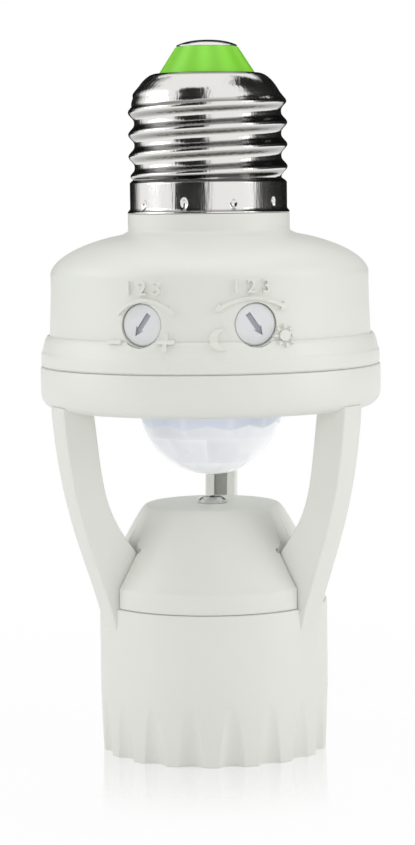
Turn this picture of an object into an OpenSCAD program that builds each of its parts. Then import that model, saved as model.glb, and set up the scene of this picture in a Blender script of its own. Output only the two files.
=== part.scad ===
// Motion sensor lamp holder: an E27 screw cap on top, a domed sensor housing with two turned
// settings, a hemispherical sensor lens, three channelled arms and an E27 socket underneath.
// Origin: centre of the socket's bottom rim. +Z runs up to the cap, +Y holds the rear arm,
// and the two knobs face -Y. Millimetres.

/* [Screw cap] */
// Crest diameter of the cap's thread
cap_d = 26.3; // [26.05:0.05:26.45]
// Depth of the cap's thread
thread_depth = 1; // [0.9:0.05:1.1]
// Rise of the E27 thread in one turn
thread_pitch = 3.62; // [3.5:0.01:3.7]
// How far the plain skirt lies inside the thread's crests
cap_skirt_in = 0.15; // [0.1:0.01:0.3]
// Height of the plain skirt
cap_skirt_h = 5.4; // [4.6:0.1:7]
// Height from the skirt to the shoulder
cap_thread_h = 12.5; // [11:0.1:14]
// Height of the rounded shoulder
cap_shoulder_h = 5; // [4.4:0.1:6]
// How far the shoulder's start stands out from the thread's root
shoulder_out = 0.45; // [0.2:0.05:0.6]
// Run of the shoulder in to the mouth
shoulder_w = 4.4; // [4:0.1:5]
// Thickness of the cap's sheet
cap_sheet = 0.35; // [0.25:0.01:0.4]
// How far the cap's rim flares out
cap_flare = 0.4; // [0.2:0.05:0.6]
// Depth of the punched dents above the rim
crimp_depth = 0.16; // [0.1:0.01:0.2]
// Height of the insulator above the shell
insulator_h = 4.4; // [3.6:0.1:5.5]
// Loss of the insulator's radius up to its flat top
insulator_taper = 2.9; // [2.4:0.1:3.4]
// Width of the insulator's rim round the contact
contact_rim = 0.3; // [0.2:0.05:0.8]
// Rise of the centre contact's dome
contact_rise = 1.1; // [0.8:0.05:1.5]

/* [Sensor housing] */
// How far the neck stands out from the cap's thread
neck_out = 0.25; // [0.2:0.05:0.8]
// Height of the neck
neck_h = 3.2; // [2.5:0.1:5]
// Height of the domed crown
crown_h = 9.7; // [8.5:0.1:11]
// Diameter of the drum under the crown
drum_d = 52.7; // [51:0.1:56]
// Height of the drum
drum_h = 8.2; // [7.8:0.1:10]
// Growth of the drum's radius down to the flange
drum_draft = 0.3; // [0.1:0.05:0.4]
// How far the flange stands out from the drum
flange_out = 1.45; // [1.2:0.05:1.8]
// Height of the flange
flange_h = 3.9; // [3.4:0.1:5]
// Wall of the housing
housing_wall = 1.6; // [1.4:0.1:1.8]
// Length of the lip that enters the ring
lip_h = 2; // [1.5:0.1:2.4]

/* [Settings] */
// Diameter of a knob
knob_d = 6.5; // [6:0.1:6.8]
// Gap round a knob in its hole
knob_gap = 0.2; // [0.15:0.01:0.25]
// Angle of each knob from the front
knob_angle = 20; // [19:0.5:23]
// Height of the knobs' axis above the flange's top
knob_rise = 3.85; // [3.7:0.05:4.2]
// How far a knob's face lies inside the drum's surface
knob_inset = 0.45; // [0.3:0.05:0.7]
// Length of the arrow slot
arrow_l = 4.2; // [3.6:0.1:4.6]
// Width of the arrow's tail
arrow_w = 0.85; // [0.6:0.05:1]
// Width and length of the arrow's head
arrow_head = 1.5; // [1.2:0.1:2]
// Depth of the arrow slot
arrow_depth = 0.6; // [0.4:0.1:0.9]
// Angle from straight down at which each knob's range ends
knob_end_turn = 35; // [30:1:45]
// Diameter of a knob's shaft
knob_shaft_d = 3; // [2.6:0.1:3.4]
// Radial clearance of a shaft in its trimmer
shaft_gap = 0.05; // [0.03:0.01:0.08]

/* [Ring and arms] */
// How far the ring stands out from the flange
ring_out = 0.15; // [0:0.05:0.4]
// Height of the ring
ring_h = 7; // [6.6:0.1:8]
// Wall of the ring
ring_wall = 1.75; // [1.6:0.05:1.9]
// Thickness of the ring's floor
floor_h = 1.8; // [1.5:0.1:2.2]
// Fillet under the ring
ring_fillet = 2.2; // [1.5:0.1:2.6]
// Open height from the socket's cover to the lens
lens_gap = 4.8; // [4:0.1:8]
// Width of an arm
arm_w = 5.3; // [4.8:0.1:6]
// Thickness of an arm's outer wall
arm_wall = 1.4; // [1.2:0.1:1.6]
// Width of the channel in an arm
channel_w = 2.3; // [2:0.1:2.6]
// Radial thickness of an arm under the ring
arm_depth = 5.45; // [5:0.05:6]
// How far an arm's root runs down the skirt
arm_root = 3.4; // [2.5:0.1:5]

/* [Lens] */
// Outer diameter of the lens
lens_d = 24; // [23:0.1:25]
// Wall of the lens
lens_wall = 1.1; // [0.8:0.1:1.4]
// Width of the lens's flange
lens_rim_w = 2.2; // [1.8:0.1:2.4]
// Thickness of the lens's flange
lens_flange_h = 1.2; // [1:0.1:1.6]
// Facets round the inside of the lens
lens_facets = 10; // [8:1:12]
// Thickness of the ring that holds the lens down
holder_h = 1.5; // [1.2:0.1:1.8]

/* [Socket] */
// Height of the skirt
skirt_h = 24.8; // [24:0.1:27]
// Wall of the skirt
skirt_wall = 2.05; // [1.9:0.05:2.2]
// Loss of the skirt's radius at its rim
skirt_draft = 0.3; // [0.1:0.05:0.5]
// Number of grip flutes
flute_count = 18; // [12:1:20]
// Height of the flutes
flute_h = 9; // [6:0.5:12]
// Depth of a flute at the rim
flute_depth = 1.1; // [0.6:0.1:1.2]
// Radius of a flute's hollow
flute_r = 2.6; // [2.2:0.1:4]
// How far the cover's band lies inside the skirt
cover_in = 0.35; // [0.2:0.05:0.6]
// Height of the cover's band
cover_band_h = 3.4; // [3:0.1:4.5]
// Height of the cover
cover_h = 16.2; // [15.4:0.1:17.5]
// Loss of the cover's radius up to its flat top
cover_cone = 5.8; // [5:0.1:6.6]
// Wall of the cover
cover_wall = 1.5; // [1.3:0.1:1.7]
// Thickness of the cover's top
cover_top_h = 1.8; // [1.6:0.1:2.2]
// Depth of the seat under the cover screw's head
cover_seat = 0.1; // [0:0.05:0.4]
// Gap between an arm and its notch in the cover
notch_gap = 0.3; // [0.2:0.05:0.4]
// Depth of the valley above a notch
valley_depth = 0.6; // [0.3:0.1:0.9]

/* [Lamp contacts] */
// Bore of the lamp shell between its threads
shell_minor_d = 24.6; // [24.5:0.05:24.9]
// Depth of the lamp shell's grooves
shell_groove = 1.05; // [1:0.05:1.1]
// Thickness of the lamp shell's sheet
shell_sheet = 0.4; // [0.35:0.01:0.5]
// Gap between the lamp shell and the base above it
shell_gap = 2.3; // [1.8:0.1:3]
// Height of the lamp shell's lower end above the rim
shell_rise = 6; // [5.4:0.1:6.5]
// How far the entry bore stands out from the shell
entry_out = 0.35; // [0.2:0.05:0.6]
// Wall of the insert round the shell
insert_wall = 3; // [2.6:0.1:3.6]
// Thickness of the insert's base
base_h = 4.2; // [3.6:0.1:5]
// Thickness of the contact strips
strip_t = 0.4; // [0.3:0.05:0.5]
// Width of the contact strips
strip_w = 4; // [3.4:0.1:4.6]
// Drop of the centre tongue below the base
tongue_drop = 1.9; // [1.4:0.1:2.2]

/* [Circuit] */
// Thickness of the circuit board
board_t = 1.6; // [1.2:0.1:2]
// Height of the board above the seam
board_rise = 0.7; // [0.4:0.1:1]
// Gap between the board's edge and the housing's wall
board_gap = 0.5; // [0.4:0.1:1]
// Diameter of the motion sensor's can
sensor_can_d = 8.2; // [7.8:0.1:9]
// Height of the motion sensor's can
sensor_can_h = 4.2; // [3.6:0.1:4.6]
// Diameter of the light cell
cell_d = 4.4; // [3:0.1:5]
// Diameter of the wires
wire_d = 1.4; // [1:0.1:1.5]
// Width of a trimmer
trimmer_w = 9.5; // [8:0.1:10]
// Height of a trimmer
trimmer_h = 9.6; // [8:0.1:10]
// Depth of a trimmer
trimmer_depth = 4.8; // [4:0.1:5.2]
// Length of the control chip
chip_l = 9.5; // [8:0.1:10]
// Width of the control chip
chip_w = 6.4; // [5:0.1:7]
// Height of the control chip
chip_h = 3.4; // [2:0.1:4]
// Width of the relay
relay_w = 8; // [7:0.1:9]
// Length of the relay
relay_l = 16; // [14:0.1:17]
// Height of the relay
relay_h = 12; // [10:0.1:13]
// Length of the film capacitor
film_l = 18; // [14:0.1:19]
// Width of the film capacitor
film_w = 8.5; // [7:0.1:9]
// Height of the film capacitor
film_h = 12.5; // [10:0.1:13]
// Diameter of the filter capacitor
filter_d = 8; // [6:0.1:9]
// Height of the filter capacitor
filter_h = 11.5; // [9:0.1:13]
// Diameter of a diode
diode_d = 1.9; // [1.4:0.1:2]
// Length of a diode
diode_l = 4.4; // [3.6:0.1:5]
// Length of the cover's screw
cover_screw_l = 9; // [7:0.5:10]
// Length of the housing's screws
housing_screw_l = 7; // [5:0.5:8]
// Length of the board's screws
board_screw_l = 6; // [4:0.5:7]
// Length of the lens's screws
lens_screw_l = 3.6; // [3:0.1:4]

/* [Hidden] */

$fn = 64;
eps = 0.01;
seat_gap = 0.05;

// Radii of the cap and the neck
cap_r = cap_d / 2;
cap_root_r = cap_r - thread_depth;
cap_skirt_r = cap_r - cap_skirt_in;
shoulder_r = cap_root_r + shoulder_out;
mouth_r = shoulder_r - shoulder_w;
insulator_top_r = mouth_r - insulator_taper;
contact_r = insulator_top_r - contact_rim;
neck_r = cap_r + neck_out;

// Radii of the housing, the ring and the lens
drum_r = drum_d / 2;
drum_foot_r = drum_r + drum_draft;
flange_r = drum_foot_r + flange_out;
housing_bore_r = drum_r - housing_wall;
ring_r = flange_r + ring_out;
ring_bore_r = ring_r - ring_wall;
lip_r = ring_bore_r - 0.1;
lens_r = lens_d / 2;
lens_rim_r = lens_r + lens_rim_w;
lens_hole_r = lens_r + 0.2;

// Radii of the socket, from the lamp's thread outwards
shell_minor_r = shell_minor_d / 2;
shell_major_r = shell_minor_r + shell_groove;
shell_r = shell_major_r + shell_sheet;
shell_bore_r = shell_r + shaft_gap;
entry_r = shell_r + entry_out;
insert_r = shell_bore_r + insert_wall;
skirt_bore_r = insert_r + 0.2;
skirt_r = skirt_bore_r + skirt_wall;
ledge_r = skirt_bore_r - 2.2;
core_r = ledge_r - 0.2;
cover_r = skirt_r - cover_in;
cover_top_r = cover_r - cover_cone;

// Heights, stacked up from the rim
lens_sink = 0.5;
cover_top_z = skirt_h + cover_h;
ring_z = cover_top_z + lens_gap + lens_r - lens_sink;
lens_z = ring_z + lens_sink;
arm_span = ring_z - skirt_h;
floor_top_z = ring_z + floor_h;
seam_z = ring_z + ring_h;
flange_top_z = seam_z + flange_h;
drum_top_z = flange_top_z + drum_h;
neck_z = drum_top_z + crown_h;
cap_z = neck_z + neck_h;
thread_z = cap_z + cap_skirt_h;
shoulder_z = thread_z + cap_thread_h;
shell_top_z = shoulder_z + cap_shoulder_h;
insulator_top_z = shell_top_z + insulator_h;

// Cap details
run_out = 1;
thread_fade = 1.5;
thread_start_deg = 209;
crest_power = 1.3;
crimp_count = 10;
crimp_turn = 22.5;
crimp_r = 0.9;
crimp_rise = 1.6;
mouth_lap = 0.3;
plug_gap = 0.1;
plug_wall = 1.5;
plug_r = cap_root_r - cap_sheet - plug_gap;
plug_bore_r = plug_r - plug_wall;
plug_foot_r = cap_skirt_r - cap_sheet - plug_gap;
shell_wire_r = plug_bore_r - wire_d / 2 - 0.15;
plug_top_z = shoulder_z + 1.4;
plug_roof = 1.2;
stem_r = 1.5;

// Places round the axis
arm_turns = [90, 210, 330];
housing_screw_turns = [30, 150, 270];
board_screw_turns = [0, 90, 180];
lens_screw_turns = [0, 120, 240];
wire_turns = [210, 330];
knob_z = flange_top_z + knob_rise;
knob_face_r = drum_r + drum_draft / 2 - knob_inset;
knob_back_r = knob_face_r - 3.8;
trimmer_front_r = knob_back_r - 0.5;

// Screws: head radius, head height, shank radius
tap_head = [2.3, 1.1, 1.2];
small_head = [1.6, 0.9, 0.95];
housing_screw_r = drum_r - 3.75;
housing_boss_r = 2.6;
housing_pad_r = 3.2;
housing_pad_h = 1.5;
board_screw_r = housing_bore_r - 3.55;
board_boss_r = 2.4;
lens_screw_r = lens_rim_r + 2.4;
lens_pad_r = 2;

// Board
board_z = seam_z + board_rise;
board_top_z = board_z + board_t;
board_r = housing_bore_r - board_gap;

// Arms
arm_top_r = ring_r - 0.5;
arm_tip_r = cover_top_r + 2.2;
arm_tip_z = cover_top_z - 7;
arm_top_in_r = arm_top_r - arm_depth;
root_z = skirt_h - arm_root;

// Socket insert
ledge_h = 2.1;
insert_top_z = skirt_h - ledge_h - seat_gap;
base_top_z = skirt_h + 0.2;
base_z = base_top_z - base_h;
shell_end_z = base_z - shell_gap;
shell_h = shell_end_z - shell_rise;
post_r = 3.4;
post_top_z = cover_top_z - cover_top_h - 0.2;
cover_head_z = cover_top_z - cover_seat;
rivet_r = 1;
rivet_turns = [210, 330];
rivet_place = core_r - 6.5;
strip_start = rivet_place + 2.2;
strip_end = rivet_place - 1.9;
terminal_h = 4;

// Points of a curve from a to d that leaves towards b and arrives from c
function curve(a, b, c, d, n = 12) = [
    for (i = [0:n]) let (t = i / n, s = 1 - t)
        s * s * s * a + 3 * s * s * t * b + 3 * s * t * t * c + t * t * t * d
];
// The same points in the other order
function backwards(points) = [for (i = [len(points) - 1:-1:0]) points[i]];
// Points shifted by a step
function shifted(points, step) = [for (p = points) p + step];
// A smooth step from 0 to 1
function ease(t) = let (u = max(0, min(1, t))) u * u * (3 - 2 * u);

// Radius of the screw thread at a height and an angle, fading out at both ends
function thread_radius(z, a, low, high, root_r, crest_r, fade) =
    let (turn = (z - thread_z) / thread_pitch - (a + thread_start_deg) / 360,
         crest = pow(0.5 + 0.5 * cos(360 * turn), crest_power),
         ends = fade == 0 ? 1 : ease((z - low) / fade) * ease((high - z) / fade))
    root_r + (crest_r - root_r) * crest * ends;

// A round bar with a rolled right-hand thread on it, from low to high
module threaded_bar(low, high, root_r, crest_r, fade, sides, row_h) {
    rows = ceil((high - low) / row_h);
    points = [
        for (j = [0:rows], i = [0:sides - 1])
            let (z = low + (high - low) * j / rows, a = 360 * i / sides,
                 r = thread_radius(z, a, low, high, root_r, crest_r, fade))
            [r * cos(a), r * sin(a), z]
    ];
    side_faces = [
        for (j = [0:rows - 1], i = [0:sides - 1])
            let (k = (i + 1) % sides, p = j * sides + i, q = j * sides + k)
            each [[p, p + sides, q + sides], [p, q + sides, q]]
    ];
    low_face = [for (i = [0:sides - 1]) i];
    high_face = [for (i = [sides - 1:-1:0]) rows * sides + i];
    polyhedron(points, concat([low_face], side_faces, [high_face]), convexity = 10);
}

// A round wire along points [radius, height] in one plane through the axis
module plane_wire(path, r, sides = 8) {
    last = len(path) - 1;
    points = [
        for (k = [0:last], i = [0:sides - 1])
            let (ahead = path[min(k + 1, last)] - path[max(k - 1, 0)],
                 along = ahead / norm(ahead), a = 360 * i / sides)
            [path[k][0] - along[1] * r * cos(a), r * sin(a), path[k][1] + along[0] * r * cos(a)]
    ];
    side_faces = [
        for (k = [0:last - 1], i = [0:sides - 1])
            let (j = (i + 1) % sides, p = k * sides + i, q = k * sides + j)
            each [[p, q + sides, p + sides], [p, q, q + sides]]
    ];
    start_face = [for (i = [sides - 1:-1:0]) i];
    end_face = [for (i = [0:sides - 1]) last * sides + i];
    polyhedron(points, concat([start_face], side_faces, [end_face]), convexity = 10);
}

// A pan-head screw with a cross recess: its head stands on z = 0 and its shank points down
module pan_screw(head, shank_l) {
    slot_w = head[0] * 0.32;
    slot_l = head[0] * 1.3;
    edge = head[1] * 0.4;
    difference() {
        union() {
            cylinder(r = head[0], h = head[1] - edge);
            translate([0, 0, head[1] - edge])
                cylinder(r1 = head[0], r2 = head[0] - edge * 1.4, h = edge);
            translate([0, 0, -shank_l])
                cylinder(r = head[2], h = shank_l + eps);
        }
        for (turn = [0, 90])
            rotate([0, 0, turn])
                translate([-slot_l / 2, -slot_w / 2, head[1] * 0.4])
                    cube([slot_l, slot_w, head[1]]);
    }
}

// Children repeated at angles round the axis, on a circle
module around(turns, r) {
    for (turn = turns)
        rotate([0, 0, turn])
            translate([r, 0, 0])
                children();
}

// An outline drawn as [radius, height], given a width across its plane
module upright(points, width) {
    rotate([90, 0, 0])
        linear_extrude(height = width, center = true)
            polygon(points);
}

// Screw cap

function shoulder_curve(inset) = curve(
    [shoulder_r - inset, shoulder_z],
    [shoulder_r - inset + 0.1, shoulder_z + 0.32 * cap_shoulder_h],
    [mouth_r + 0.48 * shoulder_w - inset, shell_top_z - inset],
    [mouth_r + mouth_lap, shell_top_z - inset]);

module cap_shell() {
    color("silver")
        difference() {
            union() {
                threaded_bar(thread_z - 0.4, shoulder_z + run_out, cap_root_r, cap_r,
                             thread_fade, 40, 0.4);
                rotate_extrude()
                    polygon([
                        [0, cap_z], [cap_skirt_r + cap_flare, cap_z],
                        [cap_skirt_r + cap_flare, cap_z + 0.25], [cap_skirt_r, cap_z + 0.75],
                        [cap_skirt_r, thread_z - 0.4], [cap_skirt_r - 0.25, thread_z - 0.1],
                        [cap_root_r, thread_z + 0.3], [0, thread_z + 0.3]
                    ]);
                rotate_extrude()
                    polygon(concat(
                        [[0, shoulder_z - 0.4], [cap_root_r, shoulder_z - 0.4]],
                        shoulder_curve(0),
                        [[mouth_r, shell_top_z], [0, shell_top_z]]));
            }
            rotate_extrude()
                polygon(concat(
                    [[0, cap_z - 1], [cap_skirt_r - cap_sheet, cap_z - 1],
                     [cap_skirt_r - cap_sheet, thread_z - 0.6], [cap_root_r - cap_sheet, thread_z],
                     [cap_root_r - cap_sheet, shoulder_z]],
                    shoulder_curve(cap_sheet),
                    [[mouth_r, shell_top_z - cap_sheet],
                     [mouth_r, shell_top_z + 1], [0, shell_top_z + 1]]));
            // Punched dents that hold the cap on its plug
            for (i = [0:crimp_count - 1])
                rotate([0, 0, crimp_turn - 90 + 360 / crimp_count * i])
                    translate([cap_skirt_r + crimp_r - crimp_depth, 0, cap_z + crimp_rise])
                        sphere(r = crimp_r);
        }
}

module cap_insulator() {
    collar_r = mouth_r + mouth_lap;
    under_z = shell_top_z - cap_sheet - seat_gap;
    throat_r = mouth_r - 0.1;
    color("yellowgreen")
        rotate_extrude()
            polygon([
                [stem_r + shaft_gap, plug_top_z], [collar_r, plug_top_z], [collar_r, under_z],
                [throat_r, under_z], [throat_r, shell_top_z],
                [insulator_top_r, insulator_top_z], [stem_r + shaft_gap, insulator_top_z]
            ]);
}

module centre_contact() {
    r = contact_r;
    edge_z = insulator_top_z + 0.2;
    top_z = insulator_top_z + contact_rise;
    color("dimgray")
        rotate_extrude()
            polygon(concat(
                [[0, plug_top_z - 1], [stem_r, plug_top_z - 1], [stem_r, insulator_top_z],
                 [r, insulator_top_z]],
                curve([r, edge_z], [r * 0.75, top_z - 0.25], [r * 0.4, top_z], [0, top_z], 10)));
}

module cap_wires() {
    contact_end = plug_top_z - 1 - seat_gap;
    shell_end = shell_top_z - cap_sheet - 1;
    color("firebrick") {
        rotate([0, 0, 60])
            plane_wire(concat(
                [[0, contact_end]],
                curve([0, contact_end - 3], [0, neck_z], [5, neck_z - 4], [5, board_top_z + 3], 16),
                [[5, board_top_z + seat_gap]]), wire_d / 2);
        rotate([0, 0, 150])
            plane_wire(concat(
                [[shell_wire_r, shell_end]],
                curve([shell_wire_r, cap_z], [shell_wire_r, neck_z - 4],
                      [6, neck_z - 4], [6, board_top_z + 3], 16),
                [[6, board_top_z + seat_gap]]), wire_d / 2);
    }
}

// Sensor housing

function crown_curve(inset) = curve(
    [drum_r - inset, drum_top_z - inset * 0.5],
    [drum_r - inset, drum_top_z + 0.68 * crown_h - inset],
    [neck_r + 0.46 * (drum_r - neck_r), neck_z - 0.8 - inset],
    [neck_r + 1, neck_z - 0.25 - inset], 16);

function flange_corner() = curve(
    [flange_r, flange_top_z - 1.7], [flange_r, flange_top_z - 0.5],
    [drum_foot_r + 0.7, flange_top_z], [drum_foot_r, flange_top_z], 6);

// The housing's outside, filled
module housing_outside() {
    rotate_extrude()
        polygon(concat(
            [[0, seam_z - lip_h], [lip_r, seam_z - lip_h], [lip_r, seam_z],
             [flange_r - 0.3, seam_z], [flange_r, seam_z + 0.3]],
            flange_corner(), crown_curve(0),
            [[neck_r, neck_z + 0.3], [neck_r, cap_z - seat_gap],
             [plug_foot_r, cap_z - seat_gap], [plug_foot_r, thread_z - 1.2],
             [plug_r, thread_z - 1.2],
             [plug_r, plug_top_z], [0, plug_top_z]]));
}

module housing_inside() {
    rotate_extrude()
        polygon(concat(
            [[0, seam_z - lip_h - 1], [housing_bore_r, seam_z - lip_h - 1]],
            crown_curve(housing_wall),
            [[plug_bore_r, neck_z], [plug_bore_r, plug_top_z - plug_roof],
             [mouth_r - 0.6, plug_top_z - plug_roof], [mouth_r - 0.6, plug_top_z + 1],
             [0, plug_top_z + 1]]));
}

module housing_top() {
    boss_foot_z = floor_top_z + housing_pad_h + seat_gap;
    color("ivory")
        difference() {
            union() {
                difference() {
                    housing_outside();
                    housing_inside();
                }
                // Bosses that the circuit board is screwed to
                intersection() {
                    housing_outside();
                    around(board_screw_turns, board_screw_r)
                        translate([0, 0, board_top_z])
                            cylinder(r = board_boss_r, h = crown_h + drum_h);
                }
                // Bosses that the ring is screwed to
                around(housing_screw_turns, housing_screw_r)
                    translate([0, 0, boss_foot_z])
                        cylinder(r = housing_boss_r, h = flange_top_z - boss_foot_z);
            }
            around(board_screw_turns, board_screw_r)
                translate([0, 0, board_top_z - 1])
                    cylinder(r = small_head[2] + shaft_gap, h = board_screw_l);
            around(housing_screw_turns, housing_screw_r)
                translate([0, 0, boss_foot_z - 1])
                    cylinder(r = tap_head[2] + shaft_gap, h = housing_screw_l + 1);
            // Holes for the knobs
            for (side = [-1, 1])
                at_knob(side)
                    translate([0, 0, housing_bore_r - 2])
                        cylinder(r = knob_d / 2 + knob_gap, h = 8);
            // Hole for the wire to the cap
            rotate([0, 0, 150])
                translate([shell_wire_r, 0, plug_top_z - 3])
                    cylinder(r = wire_d / 2 + 0.1, h = 4);
        }
}

// Settings

// Children drawn along +Z with +Y up, turned to point out of the housing at a knob
module at_knob(side) {
    rotate([0, 0, side * knob_angle])
        translate([0, 0, knob_z])
            rotate([90, 0, 0])
                children();
}

// A knob with an arrow slot that points the given angle clockwise from up
module knob(pointing) {
    tip = arrow_l / 2;
    head = tip - arrow_head;
    difference() {
        union() {
            translate([0, 0, knob_back_r])
                cylinder(d = knob_d, h = knob_face_r - knob_back_r);
            translate([0, 0, trimmer_front_r - trimmer_depth + 0.6])
                cylinder(d = knob_shaft_d, h = knob_back_r - trimmer_front_r + trimmer_depth);
        }
        translate([0, 0, knob_face_r - arrow_depth])
            rotate([0, 0, -pointing])
                linear_extrude(height = arrow_depth + 1)
                    polygon([
                        [0, tip], [arrow_head / 2, head], [arrow_w / 2, head + 0.2],
                        [arrow_w / 2, -tip], [-arrow_w / 2, -tip], [-arrow_w / 2, head + 0.2],
                        [-arrow_head / 2, head]
                    ]);
    }
}

module time_knob() {
    color("lightgray")
        at_knob(-1)
            knob(180 + knob_end_turn);
}

module light_knob() {
    color("lightgray")
        at_knob(1)
            knob(180 - knob_end_turn);
}

// A trimmer that stands on the board, bored for a knob's shaft
module trimmer(side) {
    color("steelblue")
        at_knob(side)
            difference() {
                translate([-trimmer_w / 2, board_top_z - knob_z, trimmer_front_r - trimmer_depth])
                    cube([trimmer_w, trimmer_h, trimmer_depth]);
                translate([0, 0, trimmer_front_r - trimmer_depth + 0.5])
                    cylinder(d = knob_shaft_d + 2 * shaft_gap, h = trimmer_depth);
            }
}

module time_trimmer() {
    trimmer(-1);
}

module light_trimmer() {
    trimmer(1);
}

// Circuit

module circuit_board() {
    color("seagreen")
        difference() {
            translate([0, 0, board_z])
                cylinder(r = board_r, h = board_t);
            around(housing_screw_turns, housing_screw_r)
                translate([0, 0, board_z - 1])
                    cylinder(r = housing_boss_r + 0.6, h = board_t + 2);
            around(board_screw_turns, board_screw_r)
                translate([0, 0, board_z - 1])
                    cylinder(r = small_head[2] + 0.2, h = board_t + 2);
        }
}

module control_chip() {
    color("black")
        translate([-chip_l / 2, -2.8 - chip_w, board_top_z])
            difference() {
                cube([chip_l, chip_w, chip_h]);
                translate([0, chip_w / 2, chip_h - 0.6])
                    cylinder(r = chip_w / 8, h = 1);
            }
}

module relay() {
    color("royalblue")
        translate([-0.37 * board_r - relay_w, -1 - relay_l / 2, board_top_z])
            cube([relay_w, relay_l, relay_h]);
}

module film_capacitor() {
    color("khaki")
        translate([-film_l / 2, 0.36 * board_r, board_top_z])
            cube([film_l, film_w, film_h]);
}

module filter_capacitor() {
    color("darkslategray")
        translate([0.57 * board_r, -2, board_top_z])
            difference() {
                cylinder(d = filter_d, h = filter_h);
                for (turn = [0, 90])
                    rotate([0, 0, turn])
                        translate([-0.3 * filter_d, -0.15, filter_h - 0.3])
                            cube([0.6 * filter_d, 0.3, 1]);
            }
}

module rectifier_diodes() {
    color("black")
        for (i = [0:3])
            translate([12 + (diode_d + 0.3) * (i - 1.5), 4.2, board_top_z + diode_d / 2 + 0.4])
                rotate([-90, 0, 0])
                    cylinder(d = diode_d, h = diode_l);
}

module motion_sensor() {
    color("silver")
        translate([0, 0, board_z - sensor_can_h]) {
            difference() {
                cylinder(d = sensor_can_d, h = sensor_can_h);
                translate([-2, -1.5, -1])
                    cube([4, 3, 1.2]);
            }
            translate([0, 0, sensor_can_h - 0.7])
                cylinder(d = sensor_can_d + 1, h = 0.7);
        }
}

module light_cell() {
    color("peru")
        translate([sensor_can_d / 2 + 0.5 + cell_d / 2 + 0.3, 0, board_z - 3.4]) {
            cylinder(d = cell_d, h = 3.4);
            translate([0, 0, 2.8])
                cylinder(d = cell_d + 0.4, h = 0.6);
        }
}

// Lens

module sensor_lens() {
    inner_r = lens_r - lens_wall;
    rim_top_z = floor_top_z + lens_flange_h;
    color("lavender")
        difference() {
            union() {
                translate([0, 0, lens_z])
                    sphere(r = lens_r, $fn = 96);
                translate([0, 0, lens_z])
                    cylinder(r = lens_r, h = rim_top_z - lens_z);
                translate([0, 0, floor_top_z])
                    cylinder(r = lens_rim_r, h = lens_flange_h);
            }
            // The faceted inside
            rotate_extrude($fn = lens_facets)
                polygon(concat(
                    [for (a = [-90:22.5:0]) [inner_r * cos(a), lens_z + inner_r * sin(a)]],
                    [[inner_r, rim_top_z + lens_r], [0, rim_top_z + lens_r]]));
            translate([0, 0, rim_top_z])
                cylinder(r = lens_r + 1, h = lens_r);
        }
}

module lens_holder() {
    bottom_z = floor_top_z + lens_flange_h;
    color("whitesmoke")
        difference() {
            union() {
                translate([0, 0, bottom_z])
                    cylinder(r = lens_rim_r, h = holder_h);
                around(lens_screw_turns, lens_screw_r)
                    translate([0, 0, bottom_z])
                        cylinder(r = lens_pad_r, h = holder_h);
                for (turn = lens_screw_turns)
                    rotate([0, 0, turn])
                        translate([0, -lens_pad_r, bottom_z])
                            cube([lens_screw_r, 2 * lens_pad_r, holder_h]);
            }
            translate([0, 0, bottom_z - 1])
                cylinder(r = lens_r - lens_wall, h = holder_h + 2);
            around(lens_screw_turns, lens_screw_r)
                translate([0, 0, bottom_z - 1])
                    cylinder(r = small_head[2] + 0.15, h = holder_h + 2);
        }
}

// Ring, arms and skirt in one moulding

function arm_outside() = curve(
    [arm_top_r, ring_z], [arm_top_r - 1.55, skirt_h + 0.423 * arm_span],
    [skirt_r + 2.35, skirt_h + 0.215 * arm_span], [skirt_r, root_z], 16);

function arm_inside() = curve(
    [arm_top_in_r, ring_z], [arm_top_in_r - 1.6, arm_tip_z + 10.1],
    [arm_tip_r + 5.8, arm_tip_z + 7.2], [arm_tip_r, arm_tip_z], 12);

module ring_solid() {
    fillet_r = ring_r - ring_fillet;
    rotate_extrude()
        polygon(concat(
            [[lens_hole_r, ring_z], [fillet_r, ring_z]],
            [for (a = [-90:15:0]) [fillet_r + ring_fillet * cos(a),
                                  ring_z + ring_fillet * (1 + sin(a))]],
            [[ring_r, seam_z - 0.3], [ring_r - 0.3, seam_z - seat_gap],
             [ring_bore_r, seam_z - seat_gap], [ring_bore_r, floor_top_z],
             [lens_hole_r, floor_top_z]]));
}

module skirt_solid() {
    rotate_extrude()
        polygon([
            [skirt_bore_r, 0], [skirt_r - skirt_draft - 0.3, 0], [skirt_r - skirt_draft, 0.3],
            [skirt_r, flute_h + 1], [skirt_r, skirt_h - 0.3], [skirt_r - 0.3, skirt_h],
            [ledge_r, skirt_h], [ledge_r, skirt_h - ledge_h], [skirt_bore_r, skirt_h - ledge_h]
        ]);
}

module arm_solid() {
    upright(concat(
        [[arm_top_in_r, ring_z + 0.9], [arm_top_r, ring_z + 0.9]],
        arm_outside(),
        [[skirt_bore_r + 0.5, root_z], [skirt_bore_r + 0.5, skirt_h - 0.5],
         [arm_tip_r, skirt_h - 0.5]],
        backwards(arm_inside())), arm_w);
}

// The wire channel, open towards the axis and through the ring's floor
module arm_channel() {
    foot_z = skirt_h + 1.2;
    outer = [for (p = shifted(arm_outside(), [-arm_wall, 0])) if (p[1] > foot_z + 1) p];
    upright(concat(
        [[arm_top_r - arm_wall, floor_top_z + 1]],
        outer,
        [[outer[len(outer) - 1][0], foot_z], [arm_tip_r - 2, foot_z], [arm_tip_r - 2, arm_tip_z]],
        backwards(shifted(arm_inside(), [-1, -0.3])),
        [[arm_top_in_r - 1, ring_z - eps], [arm_top_in_r + 0.6, ring_z - eps],
         [arm_top_in_r + 0.6, floor_top_z + 1]]), channel_w);
}

module flutes() {
    tilt = atan(flute_depth / flute_h);
    for (i = [0:flute_count - 1])
        rotate([0, 0, 14 + 360 / flute_count * i])
            translate([skirt_r - skirt_draft / 2 - flute_depth + flute_r, 0, 0])
                rotate([0, tilt, 0])
                    translate([0, 0, -5])
                        cylinder(r = flute_r, h = flute_h + 15, $fn = 48);
}

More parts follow.
